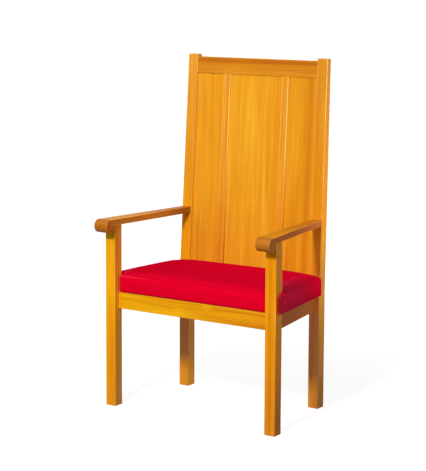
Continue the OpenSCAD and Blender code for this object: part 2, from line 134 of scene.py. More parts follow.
class Sketch:
    """A node tree under construction: it adds nodes and links their sockets."""

    def __init__(self, owner: bpy.types.Material | bpy.types.World) -> None:
        """Empties the owner's node tree.

        Args:
            owner: The material or world that the nodes belong to.
        """
        self.owner = owner
        self.owner.use_nodes = True
        self.tree = self.owner.node_tree
        self.tree.nodes.clear()

    def node(
        self,
        kind: str,
        settings: dict[str, object] | None = None,
        inputs: dict[str | int, Value] | None = None,
        output: str | int = 0,
    ) -> Signal:
        """Adds a node.

        Args:
            kind: The node's type, without the prefix that all of them share.
            settings: Its own properties, and under "stops" a ramp's places and colours.
            inputs: Socket names or numbers, with the value or signal of each.
            output: The socket that the result is taken from.

        Returns:
            The signal at that output, empty where the node has none.
        """
        made = self.tree.nodes.new("ShaderNode" + kind)
        for key, value in (settings or {}).items():
            if key == "stops":
                self._set_stops(made.color_ramp, value)
            else:
                setattr(made, key, value)
        for key, value in (inputs or {}).items():
            if isinstance(value, Signal):
                self.tree.links.new(value.socket, made.inputs[key])
            else:
                made.inputs[key].default_value = value
        return Signal(self, made.outputs[output] if made.outputs else None)

    @staticmethod
    def _set_stops(ramp: bpy.types.ColorRamp, stops: Sequence[tuple[float, float]]) -> None:
        """Sets a ramp's stops, each a place and a grey level.

        Args:
            ramp: The ramp.
            stops: Each stop's place and level.
        """
        while len(ramp.elements) < len(stops):
            ramp.elements.new(1.0)
        for element, (place, level) in zip(ramp.elements, stops):
            element.position = place
            element.color = (level, level, level, 1.0)

    def blend(self, factor: Value, first: Value, second: Value, mode: str = "MIX") -> Signal:
        """Mixes two colours.

        Args:
            factor: 0 for the first colour, 1 for the second.
            first: A colour or signal.
            second: A colour or signal.
            mode: The Mix node's blend type.

        Returns:
            The mixed colour.
        """
        inputs = {0: factor, 6: self._rgba(first), 7: self._rgba(second)}
        settings = {"data_type": "RGBA", "blend_type": mode}
        return self.node("Mix", settings, inputs, 2)

    @staticmethod
    def _rgba(colour: Value) -> Value:
        """A colour with its alpha, or the signal as it is."""
        return colour if isinstance(colour, Signal) else (*colour, 1.0)

    def place(self, turn: Sequence[float] = (0.0, 0.0, 0.0)) -> Signal:
        """Object coordinates, turned about the origin by the angles in turn."""
        raw = self.node("TexCoord", output="Object")
        return self.node("Mapping", {}, {"Vector": raw, "Rotation": turn})

    def attribute(self, name: str) -> Signal:
        """A number that the mesh carries under that name."""
        return self.node("Attribute", {"attribute_name": name}, output="Fac")

    def split(self, vector: Signal) -> tuple[Signal, Signal, Signal]:
        """The three numbers of a vector."""
        made = self.node("SeparateXYZ", {}, {0: vector}).socket.node
        return tuple(Signal(self, out) for out in made.outputs)

    def joined(self, x: Value, y: Value, z: Value) -> Signal:
        """A vector from three numbers."""
        return self.node("CombineXYZ", {}, {0: x, 1: y, 2: z})

    def noise(
        self, where: Signal, scale: float, detail: float = 2.0, rough: float = 0.5, lot: float = 0.0
    ) -> Signal:
        """Soft noise about 0.5 at a place.

        Args:
            where: The place.
            scale: How fine it is.
            detail: How many finer layers it has.
            rough: How strong those are.
            lot: Draws another noise of the same kind.

        Returns:
            The noise.
        """
        inputs = {"Vector": where, "W": lot, "Scale": scale, "Detail": detail, "Roughness": rough}
        return self.node("TexNoise", {"noise_dimensions": "4D"}, inputs)

    def ramp(self, value: Signal, low: float, high: float) -> Signal:
        """Stretches what lies between low and high to the range from 0 to 1."""
        return self.node("MapRange", {}, {0: value, 1: low, 2: high})

    def finish(
        self,
        colour: Value,
        roughness: Value,
        constants: dict[str, Value],
        height: Signal | None = None,
        depth: float = 0.0,
    ) -> bpy.types.Material:
        """Feeds the surface shader and ends the material.

        Args:
            colour: Base colour.
            roughness: Roughness.
            constants: The shader's other sockets, set directly.
            height: A relief from 0 to 1, if the surface has one.
            depth: The relief's depth in metres.

        Returns:
            The finished material.
        """
        inputs = {"Base Color": self._rgba(colour), "Roughness": roughness, **constants}
        if height is not None:
            bump = {"Height": height, "Strength": 1.0, "Distance": depth}
            inputs["Normal"] = self.node("Bump", {}, bump)
        surface = self.node("BsdfPrincipled", {}, inputs)
        self.node("OutputMaterial", {}, {"Surface": surface})
        return self.owner


@dataclass(frozen=True)
class Stripe:
    """A darker stripe along the grain: which way across it is counted, where, how wide, how strong."""

    axis: int
    place: float
    half_width: float
    share: float
    wander: float = 14 * MM
    dark: bool = False


@dataclass(frozen=True)
class Drift:
    """Painted light and shade: a slow change of colour along the grain, from where to where, and what it
    ends at.

    Both places are in metres along the grain, and the colour multiplies the wood's. aside is True
    where only the faces that look sideways change.
    """

    start: float
    end: float
    colour: Colour
    aside: bool = False


@dataclass(frozen=True)
class Knot:
    """A small sound knot: its place along and across the grain, and how far the grain bends round it."""

    along: float
    across: float
    reach: float


@dataclass(frozen=True)
class Layer:
    """A noise in the wood: how far it is drawn out along the grain, how fine, and what of it shows."""

    stretch: float
    scale: float
    detail: float = 2.0
    rough: float = 0.5
    shown: tuple[float, float] = (0.0, 1.0)


@dataclass(frozen=True)
class Pine:
    """Varnished pine: growth rings cut lengthwise, streaks, fine fibres, paler arrises that are partly
    wear and partly a painted highlight, and painted light and shade along the grain.

    heart is where the tree's heart lies across the grain, and turn the angles that lay the grain
    along the piece.
    """

    name: str
    grain: Grain
    heart: tuple[float, float]
    turn: tuple[float, float, float] = (0.0, 0.0, 0.0)
    ring: float = 4.6 * MM
    lot: float = 0.0
    tone: Colour = (1.0, 1.0, 1.0)
    pale: Colour = (0.91, 0.405, 0.006)
    amber: Colour = (0.80, 0.275, 0.003)
    late: Colour = (0.50, 0.125, 0.002)
    ring_share: float = 0.30
    band_share: float = 0.60
    mark_share: float = 0.40
    line_share: float = 0.30
    stripes: tuple[Stripe, ...] = ()
    # painted light and shade: slow changes of colour along the grain
    drifts: tuple[Drift, ...] = ()
    knots: tuple[Knot, ...] = ()
    gloss: float = 0.06
    # the arrises' paler colour is partly wear and partly a painted highlight, which may fade along the
    # grain
    arris_colour: Colour = (1.0, 0.50, 0.03)
    arris_share: float = 0.28
    arris_gloss: float = 0.35
    arris_fade: tuple[float, float] | None = None
    ring_waves: tuple[float, float] = (30 * MM, 3.5 * MM)
    slow_wave: Layer = Layer(0.22, 7.0)
    quick_wave: Layer = Layer(0.05, 55.0)
    broad: Layer = Layer(0.14, 16.0)
    cloud: Layer = Layer(0.30, 22.0, 3.0)
    fibre: Layer = Layer(0.012, 1100.0, 2.0, 0.7)
    tint: Layer = Layer(0.030, 95.0, 3.0, 0.6, (0.38, 0.64))
    band: Layer = Layer(0.07, 26.0, shown=(0.44, 0.66))
    mark: Layer = Layer(0.035, 85.0, 3.0, 0.6, (0.60, 0.74))
    line: Layer = Layer(0.014, 170.0, 1.0, shown=(0.54, 0.66))
    patch: Layer = Layer(0.12, 9.0, shown=(0.38, 0.62))
    wander: Layer = Layer(0.04, 18.0)
    knot_bend: float = 1.3
    knot_pale: float = 0.75
    relief: float = 0.12 * MM

    def _along_grain(self, sketch: Sketch) -> tuple[Signal, Signal, Signal]:
        """Two places across the grain and one along it.

        Args:
            sketch: The material under construction.

        Returns:
            The three places.
        """
        x, y, z = sketch.split(sketch.place(self.turn))
        return {
            Grain.UPRIGHT: (x, y, z),
            Grain.ACROSS: (y, z, x),
            Grain.DEEP: (x, z, y),
        }[self.grain]

    def _stained(self, colour: Colour) -> Colour:
        """A wood colour under this piece's own varnish."""
        return tuple(part * stain for part, stain in zip(colour, self.tone))

    def material(self) -> bpy.types.Material:
        """Makes the material.

        Returns:
            The varnished wood.
        """
        sketch = Sketch(bpy.data.materials.new(self.name))
        a, b, along = self._along_grain(sketch)
        clear = []
        for knot in self.knots:
            off_along = (along - knot.along) * 0.5
            off_across = b - knot.across
            off = (off_along * off_along + off_across * off_across).root()
            bulge = sketch.ramp(off, knot.reach, 0.0)
            clear.append(bulge)
            b = b - off_across * bulge * self.knot_bend

        def grown(layer: Layer) -> Signal:
            """A layer of noise, of this piece's own lot."""
            where = sketch.joined(a, b, along * layer.stretch)
            return sketch.noise(where, layer.scale, layer.detail, layer.rough, self.lot)

        out_a = a - self.heart[0]
        out_b = b - self.heart[1]
        radius = (out_a * out_a + out_b * out_b).root()
        slow, quick = self.ring_waves
        age = (radius + grown(self.slow_wave) * slow + grown(self.quick_wave) * quick) / self.ring
        ring_stops = [(0.0, 0.10), (0.10, 0.0), (0.50, 0.12), (0.86, 1.0), (1.0, 0.10)]
        ring = sketch.node("ValToRGB", {"stops": ring_stops}, {0: age.fraction()})
        cloud = grown(self.cloud)
        fibre = grown(self.fibre)
        tint = sketch.ramp(grown(self.tint) * 0.5 + grown(self.broad) * 0.5, *self.tint.shown)
        layers = (self.band, self.mark, self.line, self.patch)
        band, mark, line, patch = (sketch.ramp(grown(layer), *layer.shown) for layer in layers)

        pale, amber, late = (self._stained(c) for c in (self.pale, self.amber, self.late))
        colour = sketch.blend(tint, pale, amber)
        colour = sketch.blend(band * self.band_share, colour, amber)
        wander = grown(self.wander) - 0.5
        for stripe in self.stripes:
            off = ((a, b)[stripe.axis] - stripe.place + wander * stripe.wander).size()
            within = sketch.ramp(off, stripe.half_width, stripe.half_width * 0.3)
            colour = sketch.blend(within * stripe.share, colour, late if stripe.dark else amber)
        colour = sketch.blend(ring * (patch * 0.8 + 0.3) * self.ring_share, colour, late)
        colour = sketch.blend(mark * self.mark_share, colour, late)
        colour = sketch.blend(line * self.line_share, colour, late)
        shade = fibre * 0.20 + cloud * 0.16 + 0.82
        colour = sketch.blend(1.0, colour, sketch.joined(shade, shade, shade), "MULTIPLY")
        for bulge in clear:
            colour = sketch.blend(bulge * self.knot_pale, colour, pale)
        # Painted light and shade: slow changes of colour along the grain, on the sideways faces alone
        # where so marked.
        edge = sketch.attribute("edge")
        for drift in self.drifts:
            there = sketch.ramp(along, drift.start, drift.end)
            if drift.aside:
                there = there * edge
            colour = sketch.blend(there, colour, drift.colour, "MULTIPLY")
        # The arrises pale partly as wear and partly as a painted highlight, which may fade along the
        # grain; the same mark gives them a gloss coat.
        lightened = sketch.attribute("arris")
        if self.arris_fade:
            lightened = lightened * sketch.ramp(along, *self.arris_fade)
        colour = sketch.blend(lightened * self.arris_share, colour, self.arris_colour)
        rough = fibre * 0.10 + 0.30
        height = ring * 0.4 + fibre * 0.6
        varnish = {
            "Specular IOR Level": self.gloss,
            "Specular Tint": (1.0, 0.70, 0.30, 1.0),
            "Coat Weight": lightened * self.arris_gloss,
            "Coat Roughness": 0.24,
        }
        return sketch.finish(colour, rough, varnish, height, self.relief)


@dataclass(frozen=True)
class Cloth:
    """Red upholstery cloth with a fine even weave, and painted light and shade: its marked places take
    painted light and shade that changes from front to back, and its level top a painted shade.
    """

    name: str
    colour: Colour = (0.86, 0.0010, 0.024)
    deep: Colour = (0.68, 0.0006, 0.018)
    # painted light and shade: the marked places' colours at the front and back, where the change runs,
    # and what the level top is multiplied by
    flank: Colour = (0.80, 0.017, 0.064)
    flank_back: Colour = (1.0, 0.003, 0.034)
    flank_run: tuple[float, float] = (-0.06, 0.12)
    crown: Colour = (0.84, 0.9, 1.05)
    thread: float = 1.5 * MM
    sway: float = 1.4
    loose: float = 260.0
    mottle: float = 34.0
    fuzz: float = 1500.0
    relief: float = 0.22 * MM

    def material(self) -> bpy.types.Material:
        """Makes the material.

        Returns:
            The cloth.
        """
        sketch = Sketch(bpy.data.materials.new(self.name))
        where = sketch.place()
        loose = sketch.noise(where, self.loose, 1.0)
        x, y, z = sketch.split(where)
        pace = 2.0 * math.pi / self.thread
        wave_x, wave_y, wave_z = ((part * pace + loose * self.sway).sine() for part in (x, y, z))
        weave = (wave_x * wave_y + wave_y * wave_z + wave_z * wave_x) * 0.5 + 0.5
        mottle = sketch.noise(where, self.mottle, 3.0)
        fuzz = sketch.noise(where, self.fuzz, 1.0)
        tint = weave * 0.30 + mottle * 0.35 + fuzz * 0.35
        colour = sketch.blend(tint, self.colour, self.deep)
        # Painted light and shade on the marked places, and painted shade on the level top.
        aside = sketch.attribute("flank")
        beside = sketch.blend(sketch.ramp(y, *self.flank_run), self.flank, self.flank_back)
        colour = sketch.blend(aside, colour, beside)
        upward = sketch.attribute("crown")
        colour = sketch.blend(upward, colour, self.crown, "MULTIPLY")
        nap = {
            "Specular IOR Level": 0.0,
            "Sheen Weight": 0.06,
            "Sheen Roughness": 0.45,
            "Sheen Tint": (1.0, 0.02, 0.10, 1.0),
        }
        height = weave * 0.6 + fuzz * 0.4
        return sketch.finish(colour, fuzz * 0.1 + 0.80, nap, height, self.relief)


@dataclass(frozen=True)
class Plain:
    """A hidden or minor finish: one tone, mottled, with a faint relief."""

    name: str
    colour: Colour
    dark: Colour
    scale: float
    stretch: tuple[float, float, float] = (1.0, 1.0, 1.0)
    roughness: float = 0.6
    metallic: float = 0.0
    relief: float = 0.1 * MM

    def material(self) -> bpy.types.Material:
        """Makes the material.

        Returns:
            The finish.
        """
        sketch = Sketch(bpy.data.materials.new(self.name))
        x, y, z = sketch.split(sketch.place())
        where = sketch.joined(x * self.stretch[0], y * self.stretch[1], z * self.stretch[2])
        spots = sketch.noise(where, self.scale, 3.0, 0.6)
        colour = sketch.blend(spots, self.colour, self.dark)
        rough = spots * 0.2 + (self.roughness - 0.1)
        return sketch.finish(colour, rough, {"Metallic": self.metallic}, spots, self.relief)


class Joiner:
    """Cuts and eases one piece, and hands it over finished."""

    def __init__(self) -> None:
        """Starts with nothing on the bench."""
        self.bm = bmesh.new()
        self.arris = self.bm.faces.layers.float.new("arris")
        self.edge = self.bm.faces.layers.float.new("edge")

    @classmethod
    def block(cls, low: Sequence[float], high: Sequence[float]) -> "Joiner":
        """A squared block between two corners.

        Args:
            low: The lower corner.
            high: The upper corner.

        Returns:
            A joiner with the block.
        """
        made = cls()
        made.add_block(low, high)
        return made

    def add_block(self, low: Sequence[float], high: Sequence[float]) -> list[bmesh.types.BMVert]:
        """Adds a squared block between two corners.

        Args:
            low: The lower corner.
            high: The upper corner.

        Returns:
            The block's vertices.
        """
        low, high = Vector(low), Vector(high)
        verts = bmesh.ops.create_cube(self.bm, size=1.0)["verts"]
        bmesh.ops.scale(self.bm, verts=verts, vec=high - low)
        bmesh.ops.translate(self.bm, verts=verts, vec=(low + high) / 2)
        return verts

    def reshape(self, move: Callable[[Vector], Vector]) -> "Joiner":
        """Moves every vertex to where move puts it.

        Args:
            move: Gives the new place of a place.

        Returns:
            This joiner.
        """
        for vert in self.bm.verts:
            vert.co = move(vert.co.copy())
        return self

    def transform(self, matrix: Matrix) -> "Joiner":
        """Applies a matrix to the whole piece."""
        bmesh.ops.transform(self.bm, matrix=matrix, verts=self.bm.verts)
        return self

    def cut(self, point: Sequence[float], normal: Sequence[float], remove: bool = False) -> "Joiner":
        """Cuts along a plane.

        Args:
            point: A point on the plane.
            normal: The plane's normal.
            remove: True if what lies on the normal's side falls away and the cut is closed.

        Returns:
            This joiner.
        """
        geometry = [*self.bm.verts, *self.bm.edges, *self.bm.faces]
        made = bmesh.ops.bisect_plane(
            self.bm, geom=geometry, plane_co=point, plane_no=normal, clear_outer=remove, dist=MERGE
        )
        if remove:
            rim = [g for g in made["geom_cut"] if isinstance(g, Edge)]
            bmesh.ops.contextual_create(self.bm, geom=rim)
        return self

    def ease(self, size: float, wanted: Callable[[Edge], bool], steps: int = 3) -> "Joiner":
        """Rounds the edges that are wanted, and marks the rounding as arris.

        Args:
            size: How far the rounding reaches from the edge.
            wanted: Says of an edge whether it is rounded.
            steps: Segments of the rounding.

        Returns:
            This joiner.
        """
        edges = [e for e in self.bm.edges if len(e.link_faces) == 2 and wanted(e)]
        made = bmesh.ops.bevel(
            self.bm,
            geom=edges,
            offset=size,
            offset_type="OFFSET",
            segments=steps,
            profile=0.5,
            affect="EDGES",
            material=-1,
            clamp_overlap=True,
        )
        for face in made["faces"]:
            face.smooth = True
            face[self.arris] = 1.0
        return self

    def mark_sides(self) -> "Joiner":
        """Marks the faces that look sideways as edge, which carries painted light and shade onto them.

        Returns:
            This joiner.
        """
        self.bm.normal_update()
        for face in self.bm.faces:
            if abs(face.normal.x) > 0.8:
                face[self.edge] = 1.0
        return self

    def to_object(self, name: str) -> bpy.types.Object:
        """Ends the work on the piece.

        Args:
            name: The object's name.

        Returns:
            The piece as an object outside the scene.
        """
        mesh = bpy.data.meshes.new(name)
        self.bm.to_mesh(mesh)
        self.bm.free()
        return bpy.data.objects.new(name, mesh)

    def deliver(self, name: str, finish: Pine, slot: str, node: str) -> None:
        """Makes the piece an object that stands for a CAD node.

        Args:
            name: The object's name.
            finish: Its finish.
            slot: Passed on, but not used.
            node: The node that it replaces.
        """
        bmesh.ops.remove_doubles(self.bm, verts=self.bm.verts, dist=MERGE)
        bmesh.ops.recalc_face_normals(self.bm, faces=self.bm.faces)
        piece = self.to_object(name)
        piece.data.materials.append(finish.material())
        hand_over(piece, slot, node)


def link(piece: bpy.types.Object) -> None:
    """Puts an object into the scene."""
    bpy.context.scene.collection.objects.link(piece)


def hand_over(piece: bpy.types.Object, slot: str, *stands_for: str) -> None:
    """Links a piece, lets it ride, and says which CAD nodes it stands for.

    Args:
        piece: The finished object.
        slot: Not used.
        stands_for: The nodes that it replaces.
    """
    if not piece.users_collection:
        link(piece)
    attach(piece, BODY)
    if stands_for:
        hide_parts(*stands_for)
    LOG.info("%s: %d faces, stands for %s", piece.name, len(piece.data.polygons), stands_for)


def dress(finish: Pine | Plain, *nodes: str) -> None:
    """Gives CAD nodes their finish.

    Args:
        finish: What they are finished with.
        nodes: The nodes' names.
    """
    material = finish.material()
    for node in nodes:
        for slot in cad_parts[node].material_slots:
            slot.material = material
        LOG.info("%s: dressed in %s", node, material.name)


def share(value: float, start: float, end: float) -> float:
    """How far a value has come from start to end, from 0 to 1."""
    return min(1.0, max(0.0, (value - start) / (end - start)))


def both(edge: Edge, test: Callable[[Vector], bool]) -> bool:
    """True if both ends of an edge pass a test."""
    return all(test(vert.co) for vert in edge.verts)


def span(edge: Edge, axis: int) -> float:
    """How far an edge reaches along an axis."""
    return abs(edge.verts[0].co[axis] - edge.verts[1].co[axis])


def runs_along(axis: Sequence[float], nearly: float = 0.965) -> Callable[[Edge], bool]:
    """Makes a test that picks the edges along an axis.

    Args:
        axis: The axis.
        nearly: The cosine of the largest angle between the two, about 15 degrees.

    Returns:
        The test.
    """
    line = Vector(axis).normalized()

    def wanted(edge: Edge) -> bool:
        """True if the edge runs along the line."""
        way = edge.verts[1].co - edge.verts[0].co
        return way.length > 0 and abs(way.normalized().dot(line)) > nearly

    return wanted


@dataclass(frozen=True)
class Varnish:
    """How the pine of one side's piece is varnished, its painted light and shade along the grain, and how
    far its arrises pale as wear and painted highlight.
    """

    tone: Colour
    drifts: tuple[Drift, ...]
    arris_share: float = 0.16


# Each piece's slow changes of colour are painted light and shade: those over the whole piece come first,
# then those of its sides; the front posts' last one is the painted shade under the roll.
FRONT_POSTS = {
    Side.LEFT: Varnish(
        tone=(1.06, 1.18, 1.0),
        drifts=(
            Drift(0.60, 0.25, (1.10, 1.15, 1.0)),
            Drift(0.32, 0.04, (0.93, 0.80, 1.8)),
            Drift(0.70, 0.69, (0.94, 0.82, 5.0), aside=True),
            Drift(0.42, 0.58, (0.86, 0.78, 1.2), aside=True),
            Drift(0.26, 0.06, (1.0, 1.08, 1.2), aside=True),
            Drift(0.592, 0.602, (0.97, 1.18, 1.3)),
        ),
    ),
    Side.RIGHT: Varnish(
        tone=(1.02, 0.94, 1.0),
        drifts=(
            Drift(0.32, 0.04, (0.97, 0.92, 2.6)),
            Drift(0.70, 0.69, (0.98, 0.95, 2.1), aside=True),
            Drift(0.42, 0.58, (1.15, 1.12, 1.7), aside=True),
            Drift(0.24, 0.05, (0.72, 0.68, 0.45), aside=True),
            Drift(0.592, 0.602, (1.03, 1.05, 2.2)),
        ),
    ),
}
BACK_POSTS = {
    Side.LEFT: Varnish(
        tone=(0.95, 1.03, 1.8),
        drifts=(
            Drift(0.60, 1.05, (1.0, 1.0, 3.4)),
            Drift(0.48, 0.40, (1.0, 0.92, 14.0)),
            Drift(0.13, 0.08, (1.10, 1.05, 0.25)),
            Drift(0.46, 0.38, (1.36, 1.56, 1.2), aside=True),
        ),
        arris_share=0.28,
    ),
    Side.RIGHT: Varnish(
        tone=(0.90, 0.86, 1.6),
        drifts=(
            Drift(0.60, 1.05, (1.0, 1.0, 2.0)),
            Drift(0.85, 1.12, (0.88, 0.87, 1.0)),
            Drift(0.72, 0.52, (1.16, 1.22, 3.0)),
            Drift(0.48, 0.40, (1.38 / 1.16, 1.42 / 1.22, 19.0 / 3.0)),
            Drift(0.13, 0.08, (0.86, 0.86, 0.38)),
            Drift(0.46, 0.38, (1.13, 1.30, 0.40), aside=True),
            Drift(0.28, 0.06, (0.68, 0.58, 1.6), aside=True),
        ),
        arris_share=0.55,
    ),
}
# Painted shade on the arms' side faces, as colour multipliers.
ARM_SIDE_SHADE = {Side.LEFT: (0.65, 0.58, 1.6), Side.RIGHT: (0.90, 0.48, 0.42)}


@dataclass(frozen=True)
class Panel:
    """A panel's own cut: heart from side to side, lot, tone, stripes, and the painted shade that it ends
    at below.
    """

    heart_x: float
    lot: float
    tone: Colour
    low_down: Colour
    stripes: tuple[Stripe, ...]


PANELS = {
    "left": Panel(
        heart_x=-0.235,
        lot=12.0,
        tone=(0.97, 1.05, 3.8),
        low_down=(0.95, 0.92, 0.9),
        stripes=(Stripe(0, -0.148, 13 * MM, 0.6), Stripe(0, -0.268, 24 * MM, 0.6)),
    ),
    "middle": Panel(
        heart_x=0.055,
        lot=13.0,
        tone=(0.98, 1.10, 4.0),
        low_down=(0.93, 0.92, 0.9),
        stripes=(Stripe(0, 0.090, 24 * MM, 0.8),),
    ),
    "right": Panel(
        heart_x=0.150,
        lot=14.0,
        tone=(0.90, 0.93, 3.0),
        low_down=(0.97, 0.97, 0.9),
        stripes=(Stripe(0, 0.220, 20 * MM, 1.0), Stripe(0, 0.222, 13 * MM, 0.25, dark=True)),
    ),
}


@dataclass
class Rake:
    """The plane of the leaning back: x across, y behind the posts' face, z up along them."""

    kink_z: float = 412 * MM
    post_w: float = 40 * MM
    post_top_d: float = 24 * MM
    face_y: float = field(init=False)
    lean_y: float = field(init=False)
    lean_x: float = field(init=False)
    inner_x: float = field(init=False)
    top_z: float = field(init=False)
    rise: float = field(init=False)
    angle: float = field(init=False)

    def __post_init__(self) -> None:
        """Works the slopes out from the back post's box."""
        low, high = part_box("back_post_right")
        self.face_y = low.y
        self.lean_y = high.y - self.post_top_d - low.y
        self.lean_x = high.x - low.x - self.post_w
        self.inner_x = high.x - self.post_w
        self.top_z = high.z
        self.rise = high.z - self.kink_z
        self.angle = math.atan2(self.lean_y, self.rise)

    def matrix(self) -> Matrix:
        """Takes a place in the leaning plane to the chair's frame."""
        spot = Matrix.Translation((0.0, self.face_y, self.kink_z))
        return spot @ Matrix.Rotation(-self.angle, 4, "X")

    def half_width(self, up: float) -> float:
        """Half the clear width between the posts, at a place up the back."""
        return self.inner_x - max(0.0, self.lean_x * up * math.cos(self.angle) / self.rise)

    def face_at(self, z: float) -> float:
        """The posts' face at a height."""
        return self.face_y + self.lean_y * max(0.0, z - self.kink_z) / self.rise


@dataclass
class SeatFrame:
    """Front posts, seat rails and corner blocks."""

    arris: float = 1.6 * MM
    foot: float = 2.2 * MM
    side_rail_w: float = 20.25 * MM
    post_heart: tuple[float, float] = (55 * MM, 50 * MM)
    side_heart: tuple[float, float] = (70 * MM, 60 * MM)
    dark_ring: float = 0.37
    dark_ring_gap: float = 6.5 * MM

    def build(self) -> None:
        """Builds every piece of the seat frame."""
        for side in Side:
            self._front_post(side)
            self._side_rail(side)
        self._cross_rail(
            "front_seat_rail",
            (-0.130, 0.368),
            lot=6.0,
            tone=(1.12, 1.46, 1.0),
            # Painted shade: darker and bluer towards the right end.
            drifts=(Drift(-0.30, 0.30, (0.84, 0.62, 1.4)),),
            knots=(Knot(-0.048, 0.358, 20 * MM), Knot(0.064, 0.392, 14 * MM)),
        )
        self._cross_rail("rear_seat_rail", (0.150, 0.300), lot=7.0)
        blocks = Plain(
            "block_wood", (0.72, 0.46, 0.20), (0.56, 0.33, 0.13), scale=60.0, stretch=(1.0, 1.0, 0.1)
        )
        names = [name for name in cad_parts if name.startswith("corner_block")]
        dress(blocks, *(name for name in names if "screws" not in name))

    def _front_post(self, side: Side) -> None:
        """A square upright with eased arrises, and painted light and shade that changes towards its foot.

        Args:
            side: Left or right.
        """
        sign = side.value
        node = f"front_post_{side}"
        low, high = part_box(node)
        look = FRONT_POSTS[side]
        middle = (low + high) / 2
        out, back = self.post_heart
        ring_x = low.x + self.dark_ring * (high.x - low.x)
        pair = tuple(
            Stripe(0, x, 1.6 * MM, 0.75, 3 * MM, dark=True) for x in (ring_x, ring_x + self.dark_ring_gap)
        )
        finish = Pine(
            f"pine_{node}",
            Grain.UPRIGHT,
            (middle.x + out * sign, middle.y + back),
            ring=4.0 * MM,
            lot=3.0 + sign,
            tone=look.tone,
            stripes=pair if side is Side.RIGHT else (),
            drifts=look.drifts,
            arris_share=look.arris_share,
        )
        top = high.z - self.foot

        def wanted(edge: Edge) -> bool:
            """All but the edges under the arm."""
            return not both(edge, lambda co: co.z > top)

        Joiner.block(low, high).ease(self.arris, wanted).mark_sides().deliver(
            f"post_{side}_front", finish, "pine_post", node
        )

    def _cross_rail(self, node: str, heart: tuple[float, float], **fields: object) -> None:
        """A rail across the chair, with its grain along it.

        Args:
            node: The rail's node.
            heart: Where the tree's heart lies across the grain.
            fields: Other fields of the finish.
        """
        low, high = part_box(node)
        finish = Pine(
            f"pine_{node}",
            Grain.ACROSS,
            heart,
            ring=6.5 * MM,
            ring_share=0.42,
            mark_share=0.5,
            **fields,
        )
        Joiner.block(low, high).ease(self.arris, runs_along((1, 0, 0))).deliver(
            node.replace("seat_rail", "rail"), finish, "pine_rail", node
        )

    def _side_rail(self, side: Side) -> None:
        """A rail that runs back and inwards.

        Args:
            side: Left or right.
        """
        sign = side.value
        node = f"side_seat_rail_{side}"
        low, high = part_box(node)
        outer_front = max(abs(low.x), abs(high.x))
        inner_back = min(abs(low.x), abs(high.x))
        shift = outer_front - self.side_rail_w - inner_back

        def skew(co: Vector) -> Vector:
            """Leans the rail inwards towards the back."""
            back = (co.y - low.y) / (high.y - low.y)
            return Vector((sign * (co.x - shift * back), co.y, co.z))

        swing = -sign * math.atan2(shift, high.y - low.y)
        inwards, below = self.side_heart
        finish = Pine(
            f"pine_{node}",
            Grain.DEEP,
            (sign * (outer_front - inwards), low.z - below),
            turn=(0.0, 0.0, swing),
            ring=5.5 * MM,
            lot=9.0 + sign,
            tone=(0.68, 0.42, 2.0),
            # Painted light: brighter and bluer towards the back.
            drifts=(Drift(-0.06, 0.12, (1.26, 1.70, 3.2)),),
            gloss=0.02,
        )
        piece = Joiner.block(
            (outer_front - self.side_rail_w, low.y, low.z), (outer_front, high.y, high.z)
        )
        piece.reshape(skew).ease(self.arris, runs_along((-sign * shift, high.y - low.y, 0)))
        piece.deliver(f"side_rail_{side}", finish, "pine_rail", node)


